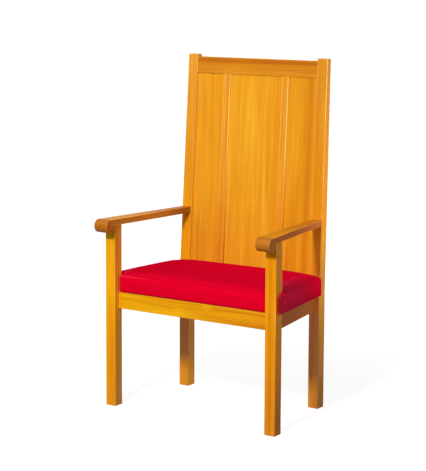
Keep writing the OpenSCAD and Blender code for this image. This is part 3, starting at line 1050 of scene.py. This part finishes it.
@dataclass
class Back:
    """Back posts, top rail, muntins and panels."""

    rake: Rake
    leg_d: float = 40 * MM
    arris: float = 1.6 * MM
    kink_round: float = 14 * MM
    top_rail_h: float = 59 * MM
    top_rail_t: float = 20 * MM
    top_rail_setback: float = 2 * MM
    post_rise: float = 8 * MM
    muntin_x: float = 120 * MM
    muntin_w: float = 27 * MM
    muntin_chamfer: float = 2.5 * MM
    bead_w: float = 9 * MM
    quirk_w: float = 2 * MM
    post_heart: tuple[float, float] = (75 * MM, 60 * MM)
    rail_heart: tuple[float, float] = (10 * MM, 1245 * MM)
    rail_stripe: float = 22 * MM
    muntin_heart: float = 30 * MM
    heart_depth: float = 75 * MM

    def build(self) -> None:
        """Builds every piece of the back."""
        for side in Side:
            self._post(side)
            self._muntin(side)
        self._top_rail()
        for name, panel in PANELS.items():
            finish = self._leaning_pine(
                f"pine_panel_{name}",
                panel.heart_x,
                ring=5.2 * MM,
                lot=panel.lot,
                tone=panel.tone,
                stripes=panel.stripes,
                # Painted shade: darker towards the bottom of the panel.
                drifts=(Drift(0.90, 0.50, panel.low_down),),
                ring_share=0.22,
                mark_share=0.30,
                line_share=0.22,
            )
            dress(finish, f"panel_{name}")

    def _rail_foot(self) -> float:
        """How far up the leaning plane the top rail begins."""
        return (self.rake.rise - self.post_rise - self.top_rail_h) / math.cos(self.rake.angle)

    def _leaning_pine(self, name: str, heart_x: float, **fields: object) -> Pine:
        """Pine whose grain follows the leaning back.

        Args:
            name: The material's name.
            heart_x: Where the tree's heart lies, from side to side.
            fields: Other fields of the finish.

        Returns:
            The finish.
        """
        rake = self.rake
        face = rake.face_y * math.cos(rake.angle) - rake.kink_z * math.sin(rake.angle)
        turn = (rake.angle, 0.0, 0.0)
        return Pine(name, Grain.UPRIGHT, (heart_x, face + self.heart_depth), turn=turn, **fields)

    def _post(self, side: Side) -> None:
        """A post in one piece: upright leg, then leaning and thinning.

        Args:
            side: Left or right.
        """
        sign = side.value
        node = f"back_post_{side}"
        rake = self.rake
        piece = Joiner.block(
            (rake.inner_x, rake.face_y, 0.0),
            (rake.inner_x + rake.post_w, rake.face_y + self.leg_d, rake.top_z),
        )
        piece.cut((0, 0, rake.kink_z), (0, 0, 1))

        def lean(co: Vector) -> Vector:
            """Leans and thins what lies above the kink.

            Args:
                co: A place on the straight post.

            Returns:
                The place on the leaning one.
            """
            up = max(0.0, co.z - rake.kink_z) / rake.rise
            depth = self.leg_d + (rake.post_top_d - self.leg_d) * up
            behind = (co.y - rake.face_y) / self.leg_d * depth
            x = sign * (co.x - rake.lean_x * up)
            return Vector((x, rake.face_y + rake.lean_y * up + behind, co.z))

        def kink(edge: Edge) -> bool:
            """The edges across the faces at the kink."""
            level = both(edge, lambda co: abs(co.z - rake.kink_z) < NEAR)
            return level and span(edge, 0) > rake.post_w / 2

        piece.reshape(lean).ease(self.kink_round, kink, 4)
        for face in piece.bm.faces:
            face[piece.arris] = 0.0
        upright = runs_along((0, 0, 1))

        def wanted(edge: Edge) -> bool:
            """The long edges between two sides, and those round the foot and the top.

            Args:
                edge: An edge of the post.

            Returns:
                True if it is eased.
            """
            sharp = edge.calc_face_angle(0.0) > math.radians(45)
            ends = both(edge, lambda co: co.z < NEAR) or both(edge, lambda co: co.z > rake.top_z - NEAR)
            return sharp and (upright(edge) or ends)

        piece.ease(self.arris, wanted).mark_sides()
        look = BACK_POSTS[side]
        out, back = self.post_heart
        finish = Pine(
            f"pine_{node}",
            Grain.UPRIGHT,
            (sign * (rake.inner_x + out), rake.face_y + back),
            turn=(rake.angle / 2, 0.0, 0.0),
            ring=4.2 * MM,
            lot=18.0 + sign,
            tone=look.tone,
            drifts=look.drifts,
            # Paler arrises, partly wear and partly a painted highlight that fades down the post.
            arris_colour=(1.0, 0.72, 0.30),
            arris_share=look.arris_share,
            arris_fade=(0.55, 1.15),
        )
        piece.deliver(f"post_{side}_back", finish, "pine_post", node)

    def _top_rail(self) -> None:
        """The rail between the tops of the posts."""
        rake = self.rake
        low = self._rail_foot()
        front, back = self.top_rail_setback, self.top_rail_setback + self.top_rail_t

        def fit(co: Vector) -> Vector:
            """Fits the rail's ends to the posts."""
            return Vector((math.copysign(rake.half_width(co.z), co.x), co.y, co.z))

        piece = Joiner.block((-1.0, front, low), (1.0, back, low + self.top_rail_h))
        piece.reshape(fit).ease(self.arris, runs_along((1, 0, 0))).transform(rake.matrix())
        behind, above = self.rail_heart
        stripe_z = rake.top_z - self.rail_stripe
        finish = Pine(
            "pine_top_rail",
            Grain.ACROSS,
            (rake.face_y + behind, above),
            ring=5.0 * MM,
            lot=25.0,
            tone=(0.79, 0.73, 2.8),
            ring_share=0.4,
            mark_share=0.55,
            stripes=(
                Stripe(1, stripe_z, 16 * MM, 0.9, 5 * MM),
                Stripe(1, stripe_z + 2 * MM, 9 * MM, 0.45, 5 * MM, dark=True),
            ),
        )
        piece.deliver("rail_top", finish, "pine_rail", "top_rail")

    def _muntin(self, side: Side) -> None:
        """A narrow upright between two panels, chamfered, with a bead along its outer edge.

        Args:
            side: Left or right.
        """
        sign = side.value
        rake = self.rake
        rail_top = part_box("rear_seat_rail")[1].z
        below = (rail_top - rake.kink_z) * 2
        left = self.muntin_x - self.muntin_w / 2
        right = self.muntin_x + self.muntin_w / 2
        front = self.top_rail_setback
        piece = Joiner.block((left, front, below), (right, front + self.top_rail_t, self._rail_foot()))
        upright = runs_along((0, 0, 1))

        def front_arris(edge: Edge) -> bool:
            """The two upright edges at the front."""
            return upright(edge) and both(edge, lambda co: co.y < front + NEAR)

        piece.ease(self.muntin_chamfer, front_arris, 2)
        quirk = right - self.bead_w
        for x in (quirk - self.quirk_w / 2, quirk, quirk + self.quirk_w / 2):
            piece.cut((x, 0, 0), (1, 0, 0))
        for vert in piece.bm.verts:
            if abs(vert.co.x - quirk) < NEAR and vert.co.y < front + NEAR:
                vert.co.y += self.quirk_w
        piece.transform(rake.matrix()).cut((0, 0, rail_top), (0, 0, -1), remove=True)
        piece.transform(Matrix.Diagonal((sign, 1, 1, 1)))
        # The slanted chamfer and quirk faces are marked as arris, so that they pale partly as wear and
        # partly as a painted highlight, and take a gloss coat.
        for face in piece.bm.faces:
            across = abs((rake.matrix().inverted().to_3x3() @ face.normal).x)
            slanted = 0.2 < across < 0.95
            if slanted:
                face[piece.arris] = 1.0
        finish = self._leaning_pine(
            f"pine_muntin_{side}",
            sign * (self.muntin_x + self.muntin_heart),
            ring=3.6 * MM,
            lot=22.0 + sign,
            tone=(0.94, 0.88, 4.0),
            # Paler chamfers and quirk, partly wear and partly a painted highlight that fades down the
            # muntin.
            arris_colour=(1.0, 0.80, 0.20),
            arris_share=0.70,
            arris_gloss=0.3,
            arris_fade=(0.60, 1.02),
            line_share=0.45,
        )
        piece.deliver(f"muntin_strip_{side}", finish, "pine_panel", f"muntin_{side}")


@dataclass
class Arms:
    """The two flat arms and the rolls across their fronts."""

    rake: Rake
    thickness: float = 22 * MM
    back_w: float = 36 * MM
    arris: float = 2.0 * MM
    roll_arris: float = 1.6 * MM
    roll_steps: int = 60
    past: float = 4 * MM
    heart: tuple[float, float] = (300 * MM, 55 * MM)
    roll_heart: tuple[float, float] = (35 * MM, 30 * MM)

    def build(self) -> None:
        """Builds both arms and rolls."""
        for side in Side:
            self._board(side)
            self._roll(side)

    def _board(self, side: Side) -> None:
        """The arm's board, tapering to the back post and cut to its leaning face.

        Args:
            side: Left or right.
        """
        sign = side.value
        roll_low, roll_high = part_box(f"arm_roll_{side}")
        low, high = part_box(f"arm_{side}")
        front_y = low.y
        inner = min(abs(roll_low.x), abs(roll_high.x))
        outer = max(abs(roll_low.x), abs(roll_high.x))
        end_y = self.rake.face_at(high.z)
        mid_z = high.z - self.thickness / 2
        outer_end = self.rake.inner_x + self.rake.post_w
        outer_end -= self.rake.lean_x * (mid_z - self.rake.kink_z) / self.rake.rise

        def taper(co: Vector) -> Vector:
            """Narrows the arm towards the back post.

            Args:
                co: A place on the squared board.

            Returns:
                The place on the tapered one.
            """
            back = (co.y - front_y) / (end_y - front_y)
            x_in = inner + (outer_end - self.back_w - inner) * back
            x_out = outer + (outer_end - outer) * back
            return Vector((sign * (x_out if co.x > 0.5 else x_in), co.y, co.z))

        piece = Joiner.block((0, front_y, high.z - self.thickness), (1, end_y + self.past, high.z))
        piece.reshape(taper)
        tilt = self.rake.angle
        piece.cut((0, end_y, high.z), (0, math.cos(tilt), -math.sin(tilt)), remove=True)
        swing = math.atan2((inner + outer) / 2 - outer_end + self.back_w / 2, end_y - front_y)
        piece.ease(self.arris, runs_along((-sign * math.sin(swing), math.cos(swing), 0)))
        out, below = self.heart
        finish = Pine(
            f"pine_arm_{side}",
            Grain.DEEP,
            (sign * out, high.z - below),
            turn=(0.0, 0.0, -sign * swing),
            lot=30.0 + sign,
            tone=(0.86, 0.86, 3.2),
            # Painted light and shade: darker behind the front of the arm, and on its side faces a painted
            # shade that changes along them.
            drifts=(
                Drift(-0.15, -0.02, (0.86, 0.74, 0.70)),
                Drift(-1.0, -0.9, ARM_SIDE_SHADE[side], aside=True),
                Drift(-0.12, -0.04, (1.12, 1.24, 1.0), aside=True),
                Drift(0.02, 0.08, (0.86, 1.0, 1.0), aside=True),
            ),
            gloss=0.02,
        )
        piece.mark_sides().deliver(f"arm_board_{side}", finish, "pine_arm", f"arm_{side}")

    def _roll(self, side: Side) -> None:
        """The roll, with a seat cut for the end of the arm.

        Args:
            side: Left or right.
        """
        sign = side.value
        node = f"arm_roll_{side}"
        low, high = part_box(node)
        radius = (high.z - low.z) / 2
        centre = Vector((low.x, low.y + radius, low.z + radius))
        step_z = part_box(f"arm_{side}")[0].z
        past = math.asin((step_z - centre.z) / radius)
        piece = Joiner()
        start = piece.bm.verts.new(centre + Vector((0, 0, radius)))
        bmesh.ops.spin(
            piece.bm,
            geom=[start],
            cent=centre,
            axis=(1, 0, 0),
            angle=math.radians(270) + past,
            steps=self.roll_steps,
            use_duplicate=False,
        )
        corner = piece.bm.verts.new((centre.x, centre.y, step_z))
        ends = [v for v in piece.bm.verts if len(v.link_edges) == 1]
        for end in ends:
            piece.bm.edges.new((end, corner))
        face = bmesh.ops.contextual_create(piece.bm, geom=list(piece.bm.edges))["faces"]
        made = bmesh.ops.extrude_face_region(piece.bm, geom=face)["geom"]
        moved = [g for g in made if isinstance(g, bmesh.types.BMVert)]
        bmesh.ops.translate(piece.bm, verts=moved, vec=(high.x - low.x, 0, 0))
        bmesh.ops.recalc_face_normals(piece.bm, faces=piece.bm.faces)

        def rim(edge: Edge) -> bool:
            """The round rims, without the seat's edges."""
            flat = span(edge, 0) < MERGE
            return flat and both(edge, lambda co: abs((co - centre).yz.length - radius) < NEAR)

        piece.ease(self.roll_arris, rim)
        for face in piece.bm.faces:
            if abs(face.normal.x) < 0.5 and len(face.verts) == 4:
                face.smooth = True
        for edge in piece.bm.edges:
            if edge.calc_face_angle(0.0) > math.radians(40):
                edge.smooth = False
        finish = Pine(
            f"pine_{node}",
            Grain.ACROSS,
            (centre.y - self.roll_heart[0], centre.z - self.roll_heart[1]),
            ring=3.6 * MM,
            lot=34.0 + sign,
            tone=(0.57, 0.48, 3.2),
            ring_share=0.45,
        )
        piece.deliver(f"roll_{side}", finish, "pine_arm", node)


@dataclass
class Cushion:
    """The boxed seat cushion: blown up as cloth, flat on the rails, with a welt round its top edge."""

    post_in: float = 305 * MM
    post_out: float = 345 * MM
    post_back: float = 40 * MM
    side_slope: float = 52.5 / 370
    gap: float = 4.6 * MM
    post_gap: float = 2.4 * MM
    tongue_overlap: float = 50 * MM
    front_set: float = 18.5 * MM
    back_set: float = 366.5 * MM
    start_swell: float = 13 * MM
    start_top: float = 462.5 * MM
    rear_rise: float = 9 * MM
    rear_flatness: int = 14
    right_fuller: float = 0.30
    corner: float = 4 * MM
    top_round: float = 5 * MM
    side_round: float = 18 * MM
    board_set: float = 11.5 * MM
    hem_w: float = 30 * MM
    recess_z: float = 410 * MM
    voxel: float = 5 * MM
    pressure: float = 1.5
    last_step: int = 20
    cap_in: float = 0.8 * MM
    cap_front: float = 1.2 * MM
    cap_side: float = 4 * MM
    cap_top: float = 17 * MM
    lobe_reach: float = 39 * MM
    lobe_reach_left: float = 21 * MM
    lobe_undercut: float = 16 * MM
    lobe_length: float = 125 * MM
    lobe_gap: float = 3.2 * MM
    lobe_w: float = 8.0 * MM
    lobe_round: float = 19 * MM
    lobe_lift: float = 18 * MM
    welt_z: float = 459 * MM
    welt_r: float = 2.0 * MM
    welt_sunk: float = 1.8 * MM
    welt_hidden: float = 3.0 * MM
    # width of the band of painted light and shade along the cover's sides
    edge_band: float = 60 * MM
    welt_points: int = 360
    over_rail: float = 0.3 * MM
    held_h: float = 2.5 * MM
    flat_h: float = 1.0 * MM
    # how far faces turn for the painted side light and the painted top shade, and how strong it is on the
    # ears and beside the sides
    flank_turn: tuple[float, float] = (0.2, 0.9)
    crown_turn: tuple[float, float] = (0.75, 0.95)
    ear_share: float = 0.9
    edge_share: float = 0.8
    y0: float = field(init=False)
    middle_y: float = field(init=False)
    bottom: float = field(init=False)

    def __post_init__(self) -> None:
        """Takes the front posts' face and the height of the rails from the model."""
        self.y0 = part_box("front_post_right")[0].y
        self.middle_y = self.y0 + (self.front_set + self.back_set) / 2
        self.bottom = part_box("front_seat_rail")[1].z + self.over_rail

    def build(self) -> None:
        """Builds the cushion and its welt, and dresses what is inside and under them."""
        cushion = self._cover(Cloth("red_cloth").material())
        # The welt's cloth is paler where marked, at the front left: a painted highlight.
        cord = Cloth("welt_cloth", flank=(0.95, 0.035, 0.075))
        self._welt(cushion, cord.material())
        board = Plain(
            "plywood", (0.66, 0.42, 0.20), (0.52, 0.31, 0.13), scale=24.0, stretch=(1.0, 0.12, 1.0)
        )
        foam = Plain("foam", (0.80, 0.73, 0.46), (0.72, 0.64, 0.38), scale=400.0)
        dress(board, "seat_board")
        dress(foam, "seat_foam")

    def _side_x(self, y: float) -> float:
        """The line over the posts' outer faces, y measured from the front posts' face."""
        return self.post_out - self.side_slope * y

    def _blank(self) -> bpy.types.Object:
        """Boxed shapes that the remesh melts into one: tongue between the posts, body and lobes.

        Returns:
            The cushion before it is filled.
        """
        piece = Joiner()
        top = self.start_top
        body_front = self.post_back + self.gap
        tongue_x = self.post_in - self.post_gap
        tongue_back = body_front + self.tongue_overlap
        tongue = piece.add_block((-tongue_x, self.front_set, self.bottom), (tongue_x, tongue_back, top))
        body = piece.add_block((-1.0, body_front, self.bottom), (1.0, self.back_set, top))
        for vert in body:
            x = self._side_x(vert.co.y) + self.start_swell
            vert.co.x = math.copysign(x, vert.co.x)
        in_tongue = set(tongue)
        upright = runs_along((0, 0, 1))

        def free_corner(edge: Edge) -> bool:
            """An upright edge, except where the tongue ends inside the body."""
            foot = edge.verts[0]
            return upright(edge) and (foot not in in_tongue or foot.co.y < body_front)

        piece.ease(self.corner, free_corner, 4)

        def upper(edge: Edge) -> bool:
            """An edge round the top."""
            return both(edge, lambda co: co.z > top - NEAR)

        def beside(edge: Edge) -> bool:
            """A long top edge at a side of the body."""
            outside = both(edge, lambda co: abs(co.x) > tongue_x + self.gap)
            return upper(edge) and outside and span(edge, 1) > self.post_out / 2

        piece.ease(self.side_round, beside, 5)
        piece.ease(self.top_round, upper, 3)
        for side in Side:
            self._add_lobe(piece, side, body_front)
        bmesh.ops.translate(piece.bm, verts=piece.bm.verts, vec=(0, self.y0, 0))
        blank = piece.to_object("cushion_blank")
        link(blank)
        remesh = blank.modifiers.new("Melt", "REMESH")
        remesh.mode = "VOXEL"
        remesh.voxel_size = self.voxel
        return blank

    def _add_lobe(self, piece: Joiner, side: Side, body_front: float) -> None:
        """Adds the stuffed ear that wraps round a front post's outer face.

        Args:
            piece: The blank, with its y counted from the front posts' face.
            side: Left or right.
            body_front: Where the body begins behind the post.
        """
        front = self.post_back - (self.lobe_reach_left if side is Side.LEFT else self.lobe_reach)
        back = body_front + self.lobe_length
        inner = self.post_out + self.lobe_gap
        widest = inner + self.lobe_w
        narrowest = self._side_x(back) + self.start_swell - self.lobe_gap
        stretches = ((front, body_front + 3 * self.gap, inner), (body_front, back, self.post_in))
        for near, far, inside in stretches:
            block = piece.add_block((0.0, near, self.bottom), (1.0, far, self.start_top))
            for vert in block:
                tip = vert.co.y < front + MERGE
                outside = vert.co.x > 0.5
                along = (vert.co.y - front) / (back - front)
                outer = widest + (narrowest - widest) * along
                vert.co.x = side.value * (outer if outside else inside)
                if vert.co.z > self.bottom + self.lobe_round and inside == inner:
                    vert.co.z += self.lobe_lift
                if tip and not outside:
                    vert.co.y += self.lobe_undercut
            mine = set(block)

            def shoulder(edge: Edge) -> bool:
                """The top edges at the ear's front and along its outer side.

                Args:
                    edge: An edge of the cushion.

                Returns:
                    True if it is rounded.
                """
                if not all(v in mine and v.co.z > self.start_top - self.voxel for v in edge.verts):
                    return False
                outside = both(edge, lambda co: abs(co.x) > inside + NEAR)
                return outside or both(edge, lambda co: co.y < front + self.lobe_undercut + NEAR)

            piece.ease(self.lobe_round, shoulder, 4)

    @staticmethod
    def _settled(piece: bpy.types.Object) -> bpy.types.Mesh:
        """The piece's mesh with its modifiers applied."""
        graph = bpy.context.evaluated_depsgraph_get()
        return bpy.data.meshes.new_from_object(piece.evaluated_get(graph))

    def _apply(self, piece: bpy.types.Object) -> None:
        """Applies every modifier of a piece.

        Args:
            piece: The piece.
        """
        mesh = self._settled(piece)
        piece.modifiers.clear()
        old = piece.data
        piece.data = mesh
        bpy.data.meshes.remove(old)

    def _fill(self, piece: bpy.types.Object) -> None:
        """Blows the cushion up as cloth, held along its flat bottom, and caps how far it swells.

        Args:
            piece: The cushion.
        """
        rest = [v.co.copy() for v in piece.data.vertices]
        held = piece.vertex_groups.new(name="held")
        held.add([i for i, co in enumerate(rest) if co.z < self.bottom + self.held_h], 1.0, "REPLACE")
        cloth = piece.modifiers.new("Fill", "CLOTH")
        cloth.settings.use_pressure = True
        cloth.settings.uniform_pressure_force = self.pressure
        cloth.settings.effector_weights.gravity = 0.0
        cloth.settings.vertex_group_mass = held.name
        cloth.point_cache.frame_start = 1
        cloth.point_cache.frame_end = self.last_step
        scene = bpy.context.scene
        for step in range(1, self.last_step + 1):
            scene.frame_set(step)
        blown = self._settled(piece)
        swollen = [v.co.copy() for v in blown.vertices]
        scene.frame_set(1)
        piece.modifiers.clear()
        bpy.data.meshes.remove(blown)
        for vert, start, end in zip(piece.data.vertices, rest, swollen):
            vert.co = self._capped(start, end)

    def _capped(self, start: Vector, end: Vector) -> Vector:
        """A point's place after swelling, softly capped along each direction.

        Args:
            start: Where the point began.
            end: Where the cloth took it.

        Returns:
            Where it goes.
        """
        move = end - start
        on_tongue = start.y < self.y0 + self.post_back + 2 * self.gap and abs(start.x) < self.post_in
        outward = (start.x, start.y - self.middle_y, 1.0)
        caps_out = (self.cap_front if on_tongue else self.cap_side, self.cap_front, self.cap_top)
        placed = start.copy()
        for axis, (cap_out, way) in enumerate(zip(caps_out, outward)):
            cap = cap_out if move[axis] * way > 0 else self.cap_in
            placed[axis] += cap * math.tanh(move[axis] / cap)
        placed.z = max(placed.z, self.bottom)
        return placed

    def _fuller_back(self, piece: bpy.types.Object) -> None:
        """Raises the top towards the back, more so at the right, but not along the sides.

        Args:
            piece: The cushion.
        """
        for vert in piece.data.vertices:
            y = vert.co.y - self.y0
            back = share(y, self.front_set, self.back_set)
            across = share(abs(vert.co.x), 0.0, self._side_x(y) + self.start_swell)
            height = (vert.co.z - self.bottom) / (self.start_top - self.bottom)
            fuller = 1.0 + self.right_fuller * vert.co.x / self.post_out
            vert.co.z += self.rear_rise * fuller * back * (1.0 - across**self.rear_flatness) * height

    def _inset(self, place: Vector) -> float:
        """How far a place lies inside the cushion's outline, seen from above.

        Args:
            place: The place, in the chair's frame.

        Returns:
            The distance, below zero outside.
        """
        y = place.y - self.y0
        side = self._side_x(y) - abs(place.x)
        front = y - self.front_set if abs(place.x) < self.post_in else y - self.post_back
        return min(side, front, self.back_set - y)

    def _recess(self, piece: bpy.types.Object) -> None:
        """Draws the underside up inside the hem, to the underside of the board.

        Args:
            piece: The cushion.
        """
        rim = self.board_set + self.hem_w
        for vert in piece.data.vertices:
            if vert.co.z < self.bottom + self.flat_h:
                inside = share(self._inset(vert.co), rim, rim + self.voxel)
                vert.co.z += (self.recess_z - self.bottom) * inside

    def _cover(self, cloth: bpy.types.Material) -> bpy.types.Object:
        """The stuffed cover.

        Args:
            cloth: Its material.

        Returns:
            The cover.
        """
        blank = self._blank()
        self._apply(blank)
        self._fuller_back(blank)
        self._fill(blank)
        refine = blank.modifiers.new("Refine", "SUBSURF")
        refine.levels = refine.render_levels = 1
        self._apply(blank)
        self._recess(blank)
        blank.name = "cushion"
        blank.data.name = "cushion"
        blank.data.materials.clear()
        blank.data.materials.append(cloth)
        blank.vertex_groups.clear()
        for face in blank.data.polygons:
            face.use_smooth = True
        self._paint(blank.data)
        hand_over(blank, "red_cloth", "seat_cover")
        return blank

    def _paint(self, mesh: bpy.types.Mesh) -> None:
        """Paints light and shade into the cover: painted side light and shade on its sides, its ears and
        a band along the sides behind the posts, and painted shade on its level top.

        Args:
            mesh: The cover's mesh.
        """
        flank = mesh.attributes.new("flank", "FLOAT", "POINT")
        crown = mesh.attributes.new("crown", "FLOAT", "POINT")
        for vert, aside, upward in zip(mesh.vertices, flank.data, crown.data):
            y = vert.co.y - self.y0
            edge = (self.edge_band - self._side_x(y) + abs(vert.co.x)) / (self.edge_band / 2)
            behind = (y - self.post_back) / self.edge_band
            turned = share(abs(vert.normal.x), *self.flank_turn)
            on_ear = share(abs(vert.co.x), self.post_out, self.post_out + self.lobe_gap)
            near_edge = min(self.edge_share * edge, behind)
            aside.value = min(1.0, max(turned, self.ear_share * on_ear, near_edge))
            upward.value = share(vert.normal.z, *self.crown_turn)

    def _welt(self, cushion: bpy.types.Object, cloth: bpy.types.Material) -> None:
        """A thin sewn welt that follows the cushion's top edge.

        Args:
            cushion: The stuffed cover.
            cloth: The welt's material.
        """
        surface = BVHTree.FromObject(cushion, bpy.context.evaluated_depsgraph_get())
        centre = Vector((0, self.middle_y, self.welt_z))
        route = bpy.data.curves.new("welt", "CURVE")
        route.dimensions = "3D"
        route.bevel_depth = self.welt_r
        route.bevel_resolution = 2
        spots = []
        for i in range(self.welt_points):
            angle = 2 * math.pi * i / self.welt_points
            ray = Vector((math.cos(angle), math.sin(angle), 0))
            hit = surface.ray_cast(centre, ray)[0]
            if hit is not None:
                along = share(hit.x, -self.post_in, -self.post_in / 2)
                sunk = self.welt_hidden if hit.x > self.post_in else self.welt_sunk * along
                spots.append(hit - ray * sunk)
        line = route.splines.new("POLY")
        line.points.add(len(spots) - 1)
        for point, spot in zip(line.points, spots):
            point.co = (*spot, 1.0)
        line.use_cyclic_u = True
        piece = bpy.data.objects.new("cushion_welt", route)
        link(piece)
        mesh = self._settled(piece)
        bpy.data.objects.remove(piece)
        welt = bpy.data.objects.new("cushion_welt", mesh)
        mesh.materials.clear()
        mesh.materials.append(cloth)
        for face in mesh.polygons:
            face.use_smooth = True
        # Painted highlight: the welt is marked paler towards the front left.
        painted_highlight = mesh.attributes.new("flank", "FLOAT", "POINT")
        for vert, lightened in zip(mesh.vertices, painted_highlight.data):
            left = share(vert.co.x, -self.post_in / 2, -self.post_in)
            lightened.value = left if vert.co.y < self.y0 + self.post_back else 0.0
        hand_over(welt, "red_cloth")


@dataclass
class Fixings:
    """Dowels and screws, which stay as the model has them."""

    def build(self) -> None:
        """Dresses the dowels and the screws."""
        beech = Plain("dowel_wood", (0.66, 0.44, 0.22), (0.55, 0.35, 0.16), scale=90.0)
        steel = Plain(
            "screw_steel", (0.62, 0.61, 0.56), (0.50, 0.49, 0.44), 300.0, roughness=0.34, metallic=1.0
        )
        dress(beech, "frame_dowels", "arm_dowels", "arm_roll_dowels")
        dress(steel, "corner_block_screws", "seat_screws")


@dataclass(frozen=True)
class Lamp:
    """A soft area lamp: what it points at, where it hangs, its sides in metres, its power in watts.

    azimuth is counted in degrees from straight in front of the chair towards +X, height in degrees
    above the level, and distance in metres from the target.
    """

    name: str
    target: tuple[float, float, float]
    azimuth: float
    height: float
    distance: float
    size: float
    power: float
    size_y: float | None = None
    spread: float = 180.0

    def hang(self) -> None:
        """Hangs the lamp in the scene."""
        azimuth, height = math.radians(self.azimuth), math.radians(self.height)
        level = math.cos(height)
        way = Vector((math.sin(azimuth) * level, -math.cos(azimuth) * level, math.sin(height)))
        data = bpy.data.lights.new(self.name, "AREA")
        data.size = self.size
        data.energy = self.power
        data.spread = math.radians(self.spread)
        if self.size_y is not None:
            data.shape = "RECTANGLE"
            data.size_y = self.size_y
        lamp = bpy.data.objects.new(self.name, data)
        turn = way.to_track_quat("Z", "Y").to_matrix().to_4x4()
        lamp.matrix_world = Matrix.Translation(Vector(self.target) + way * self.distance) @ turn
        link(lamp)


MIDDLE = (0.0, 0.0, 0.62)
LAMPS = (
    Lamp("key", MIDDLE, azimuth=7.5, height=32.5, distance=4.6, size=0.6, power=164.0),
    Lamp("fill", MIDDLE, azimuth=-40, height=35, distance=4.0, size=2.0, power=20.0),
    Lamp(
        "rim",
        (0.30, 0.25, 0.88),
        azimuth=98,
        height=0,
        distance=0.65,
        size=0.2,
        power=0.62,
        size_y=0.8,
        spread=44,
    ),
    Lamp("side", (0.0, 0.1, 0.72), azimuth=72, height=6, distance=2.3, size=0.6, power=0.85, spread=70),
    Lamp("back", MIDDLE, azimuth=180, height=8, distance=4.0, size=2.0, power=12.0),
)


@dataclass
class Studio:
    """Pale floor, soft lamps, and the camera at the photograph's place."""

    place: tuple[float, float, float] = (2.9624, -4.4621, 1.4959)
    yaw: float = math.radians(33.843)
    pitch: float = math.radians(7.631)
    roll: float = math.radians(0.252)
    focal_px: float = 1584.0
    long_side_px: float = 471.0
    shift_px: float = -50.0
    sensor: float = 36.0
    floor_size: float = 300.0
    soft_light: float = 0.30
    floor_light: Colour = (0.25, 0.25, 0.248)
    floor_dark: Colour = (0.22, 0.22, 0.218)
    floor_seen: Colour = (0.3, 0.3, 0.3)
    glow: tuple[float, float] = (0.86, 1.0)
    glow_run: tuple[float, float] = (0.7, 2.2)

    def build(self) -> None:
        """Sets up the view, the floor, the surroundings and the lamps."""
        scene = bpy.context.scene
        scene.view_settings.view_transform = "Standard"
        self._camera(scene)
        self._floor()
        self._surroundings(scene)
        for lamp in LAMPS:
            lamp.hang()

    def _camera(self, scene: bpy.types.Scene) -> None:
        """Places the camera by its yaw, pitch and roll.

        Args:
            scene: The scene that it looks at.
        """
        level = math.cos(self.pitch)
        ahead = Vector((-math.sin(self.yaw) * level, math.cos(self.yaw) * level, -math.sin(self.pitch)))
        right = Vector((math.cos(self.yaw), math.sin(self.yaw), 0.0))
        up = right.cross(ahead)
        rolled_right = right * math.cos(self.roll) + up * math.sin(self.roll)
        rolled_up = up * math.cos(self.roll) - right * math.sin(self.roll)
        data = bpy.data.cameras.new("camera")
        data.sensor_width = self.sensor
        data.lens = self.focal_px / self.long_side_px * self.sensor
        data.shift_y = self.shift_px / self.long_side_px
        data.clip_end = 200.0
        camera = bpy.data.objects.new("camera", data)
        axes = Matrix((rolled_right, rolled_up, -ahead)).transposed()
        camera.matrix_world = Matrix.Translation(self.place) @ axes.to_4x4()
        link(camera)
        scene.camera = camera

    def _floor(self) -> None:
        """A pale floor that fades to white and keeps the chair's shadow."""
        floor = Joiner()
        bmesh.ops.create_grid(floor.bm, x_segments=8, y_segments=8, size=self.floor_size / 2)
        piece = floor.to_object("floor")
        link(piece)
        sketch = Sketch(bpy.data.materials.new("pale_floor"))
        grain = sketch.noise(sketch.place(), 40.0, 2.0)
        colour = sketch.blend(grain, self.floor_light, self.floor_dark)
        matt = sketch.node("BsdfDiffuse", {}, {"Color": colour})
        faint = sketch.node("BsdfDiffuse", {}, {"Color": (*self.floor_seen, 1.0)})
        x, y, _ = sketch.split(sketch.place())
        away = (x * x + y * y).root()
        near, far = self.glow_run
        dim, full = self.glow
        bright = sketch.node("MapRange", {}, {0: away, 1: near, 2: far, 3: dim, 4: full})
        glow = sketch.node("Emission", {}, {"Color": (1, 1, 1, 1), "Strength": bright})
        lit = sketch.node("AddShader", {}, {0: faint, 1: glow})
        shown = self._seen(sketch)
        surface = sketch.node("MixShader", {}, {0: shown, 1: matt, 2: lit})
        sketch.node("OutputMaterial", {}, {"Surface": surface})
        piece.data.materials.append(sketch.owner)

    @staticmethod
    def _seen(sketch: Sketch) -> Signal:
        """1 for rays from the camera, mirrors and glass, 0 for light on the object.

        Args:
            sketch: The material or world under construction.

        Returns:
            The signal.
        """
        path = sketch.node("LightPath", output="Is Camera Ray").socket.node
        parts = ("Is Camera Ray", "Is Glossy Ray", "Is Transmission Ray")
        seen = [Signal(sketch, path.outputs[name]) for name in parts]
        return seen[0].maths("MAXIMUM", seen[1]).maths("MAXIMUM", seen[2])

    def _surroundings(self, scene: bpy.types.Scene) -> None:
        """White where it is seen, and a soft grey light on the object.

        Args:
            scene: The scene inside it.
        """
        world = bpy.data.worlds.new("surroundings")
        sketch = Sketch(world)
        strength = self._seen(sketch) * (1.0 - self.soft_light) + self.soft_light
        light = sketch.node("Background", {}, {"Color": (1, 1, 1, 1), "Strength": strength})
        sketch.node("OutputWorld", {}, {"Surface": light})
        scene.world = world


def main() -> None:
    """Builds the chair and the studio."""
    logging.basicConfig(level=logging.INFO, format="%(name)s: %(message)s")
    rake = Rake()
    SeatFrame().build()
    Back(rake).build()
    Arms(rake).build()
    Cushion().build()
    Fixings().build()
    Studio().build()


if __name__ == "__main__":
    main()
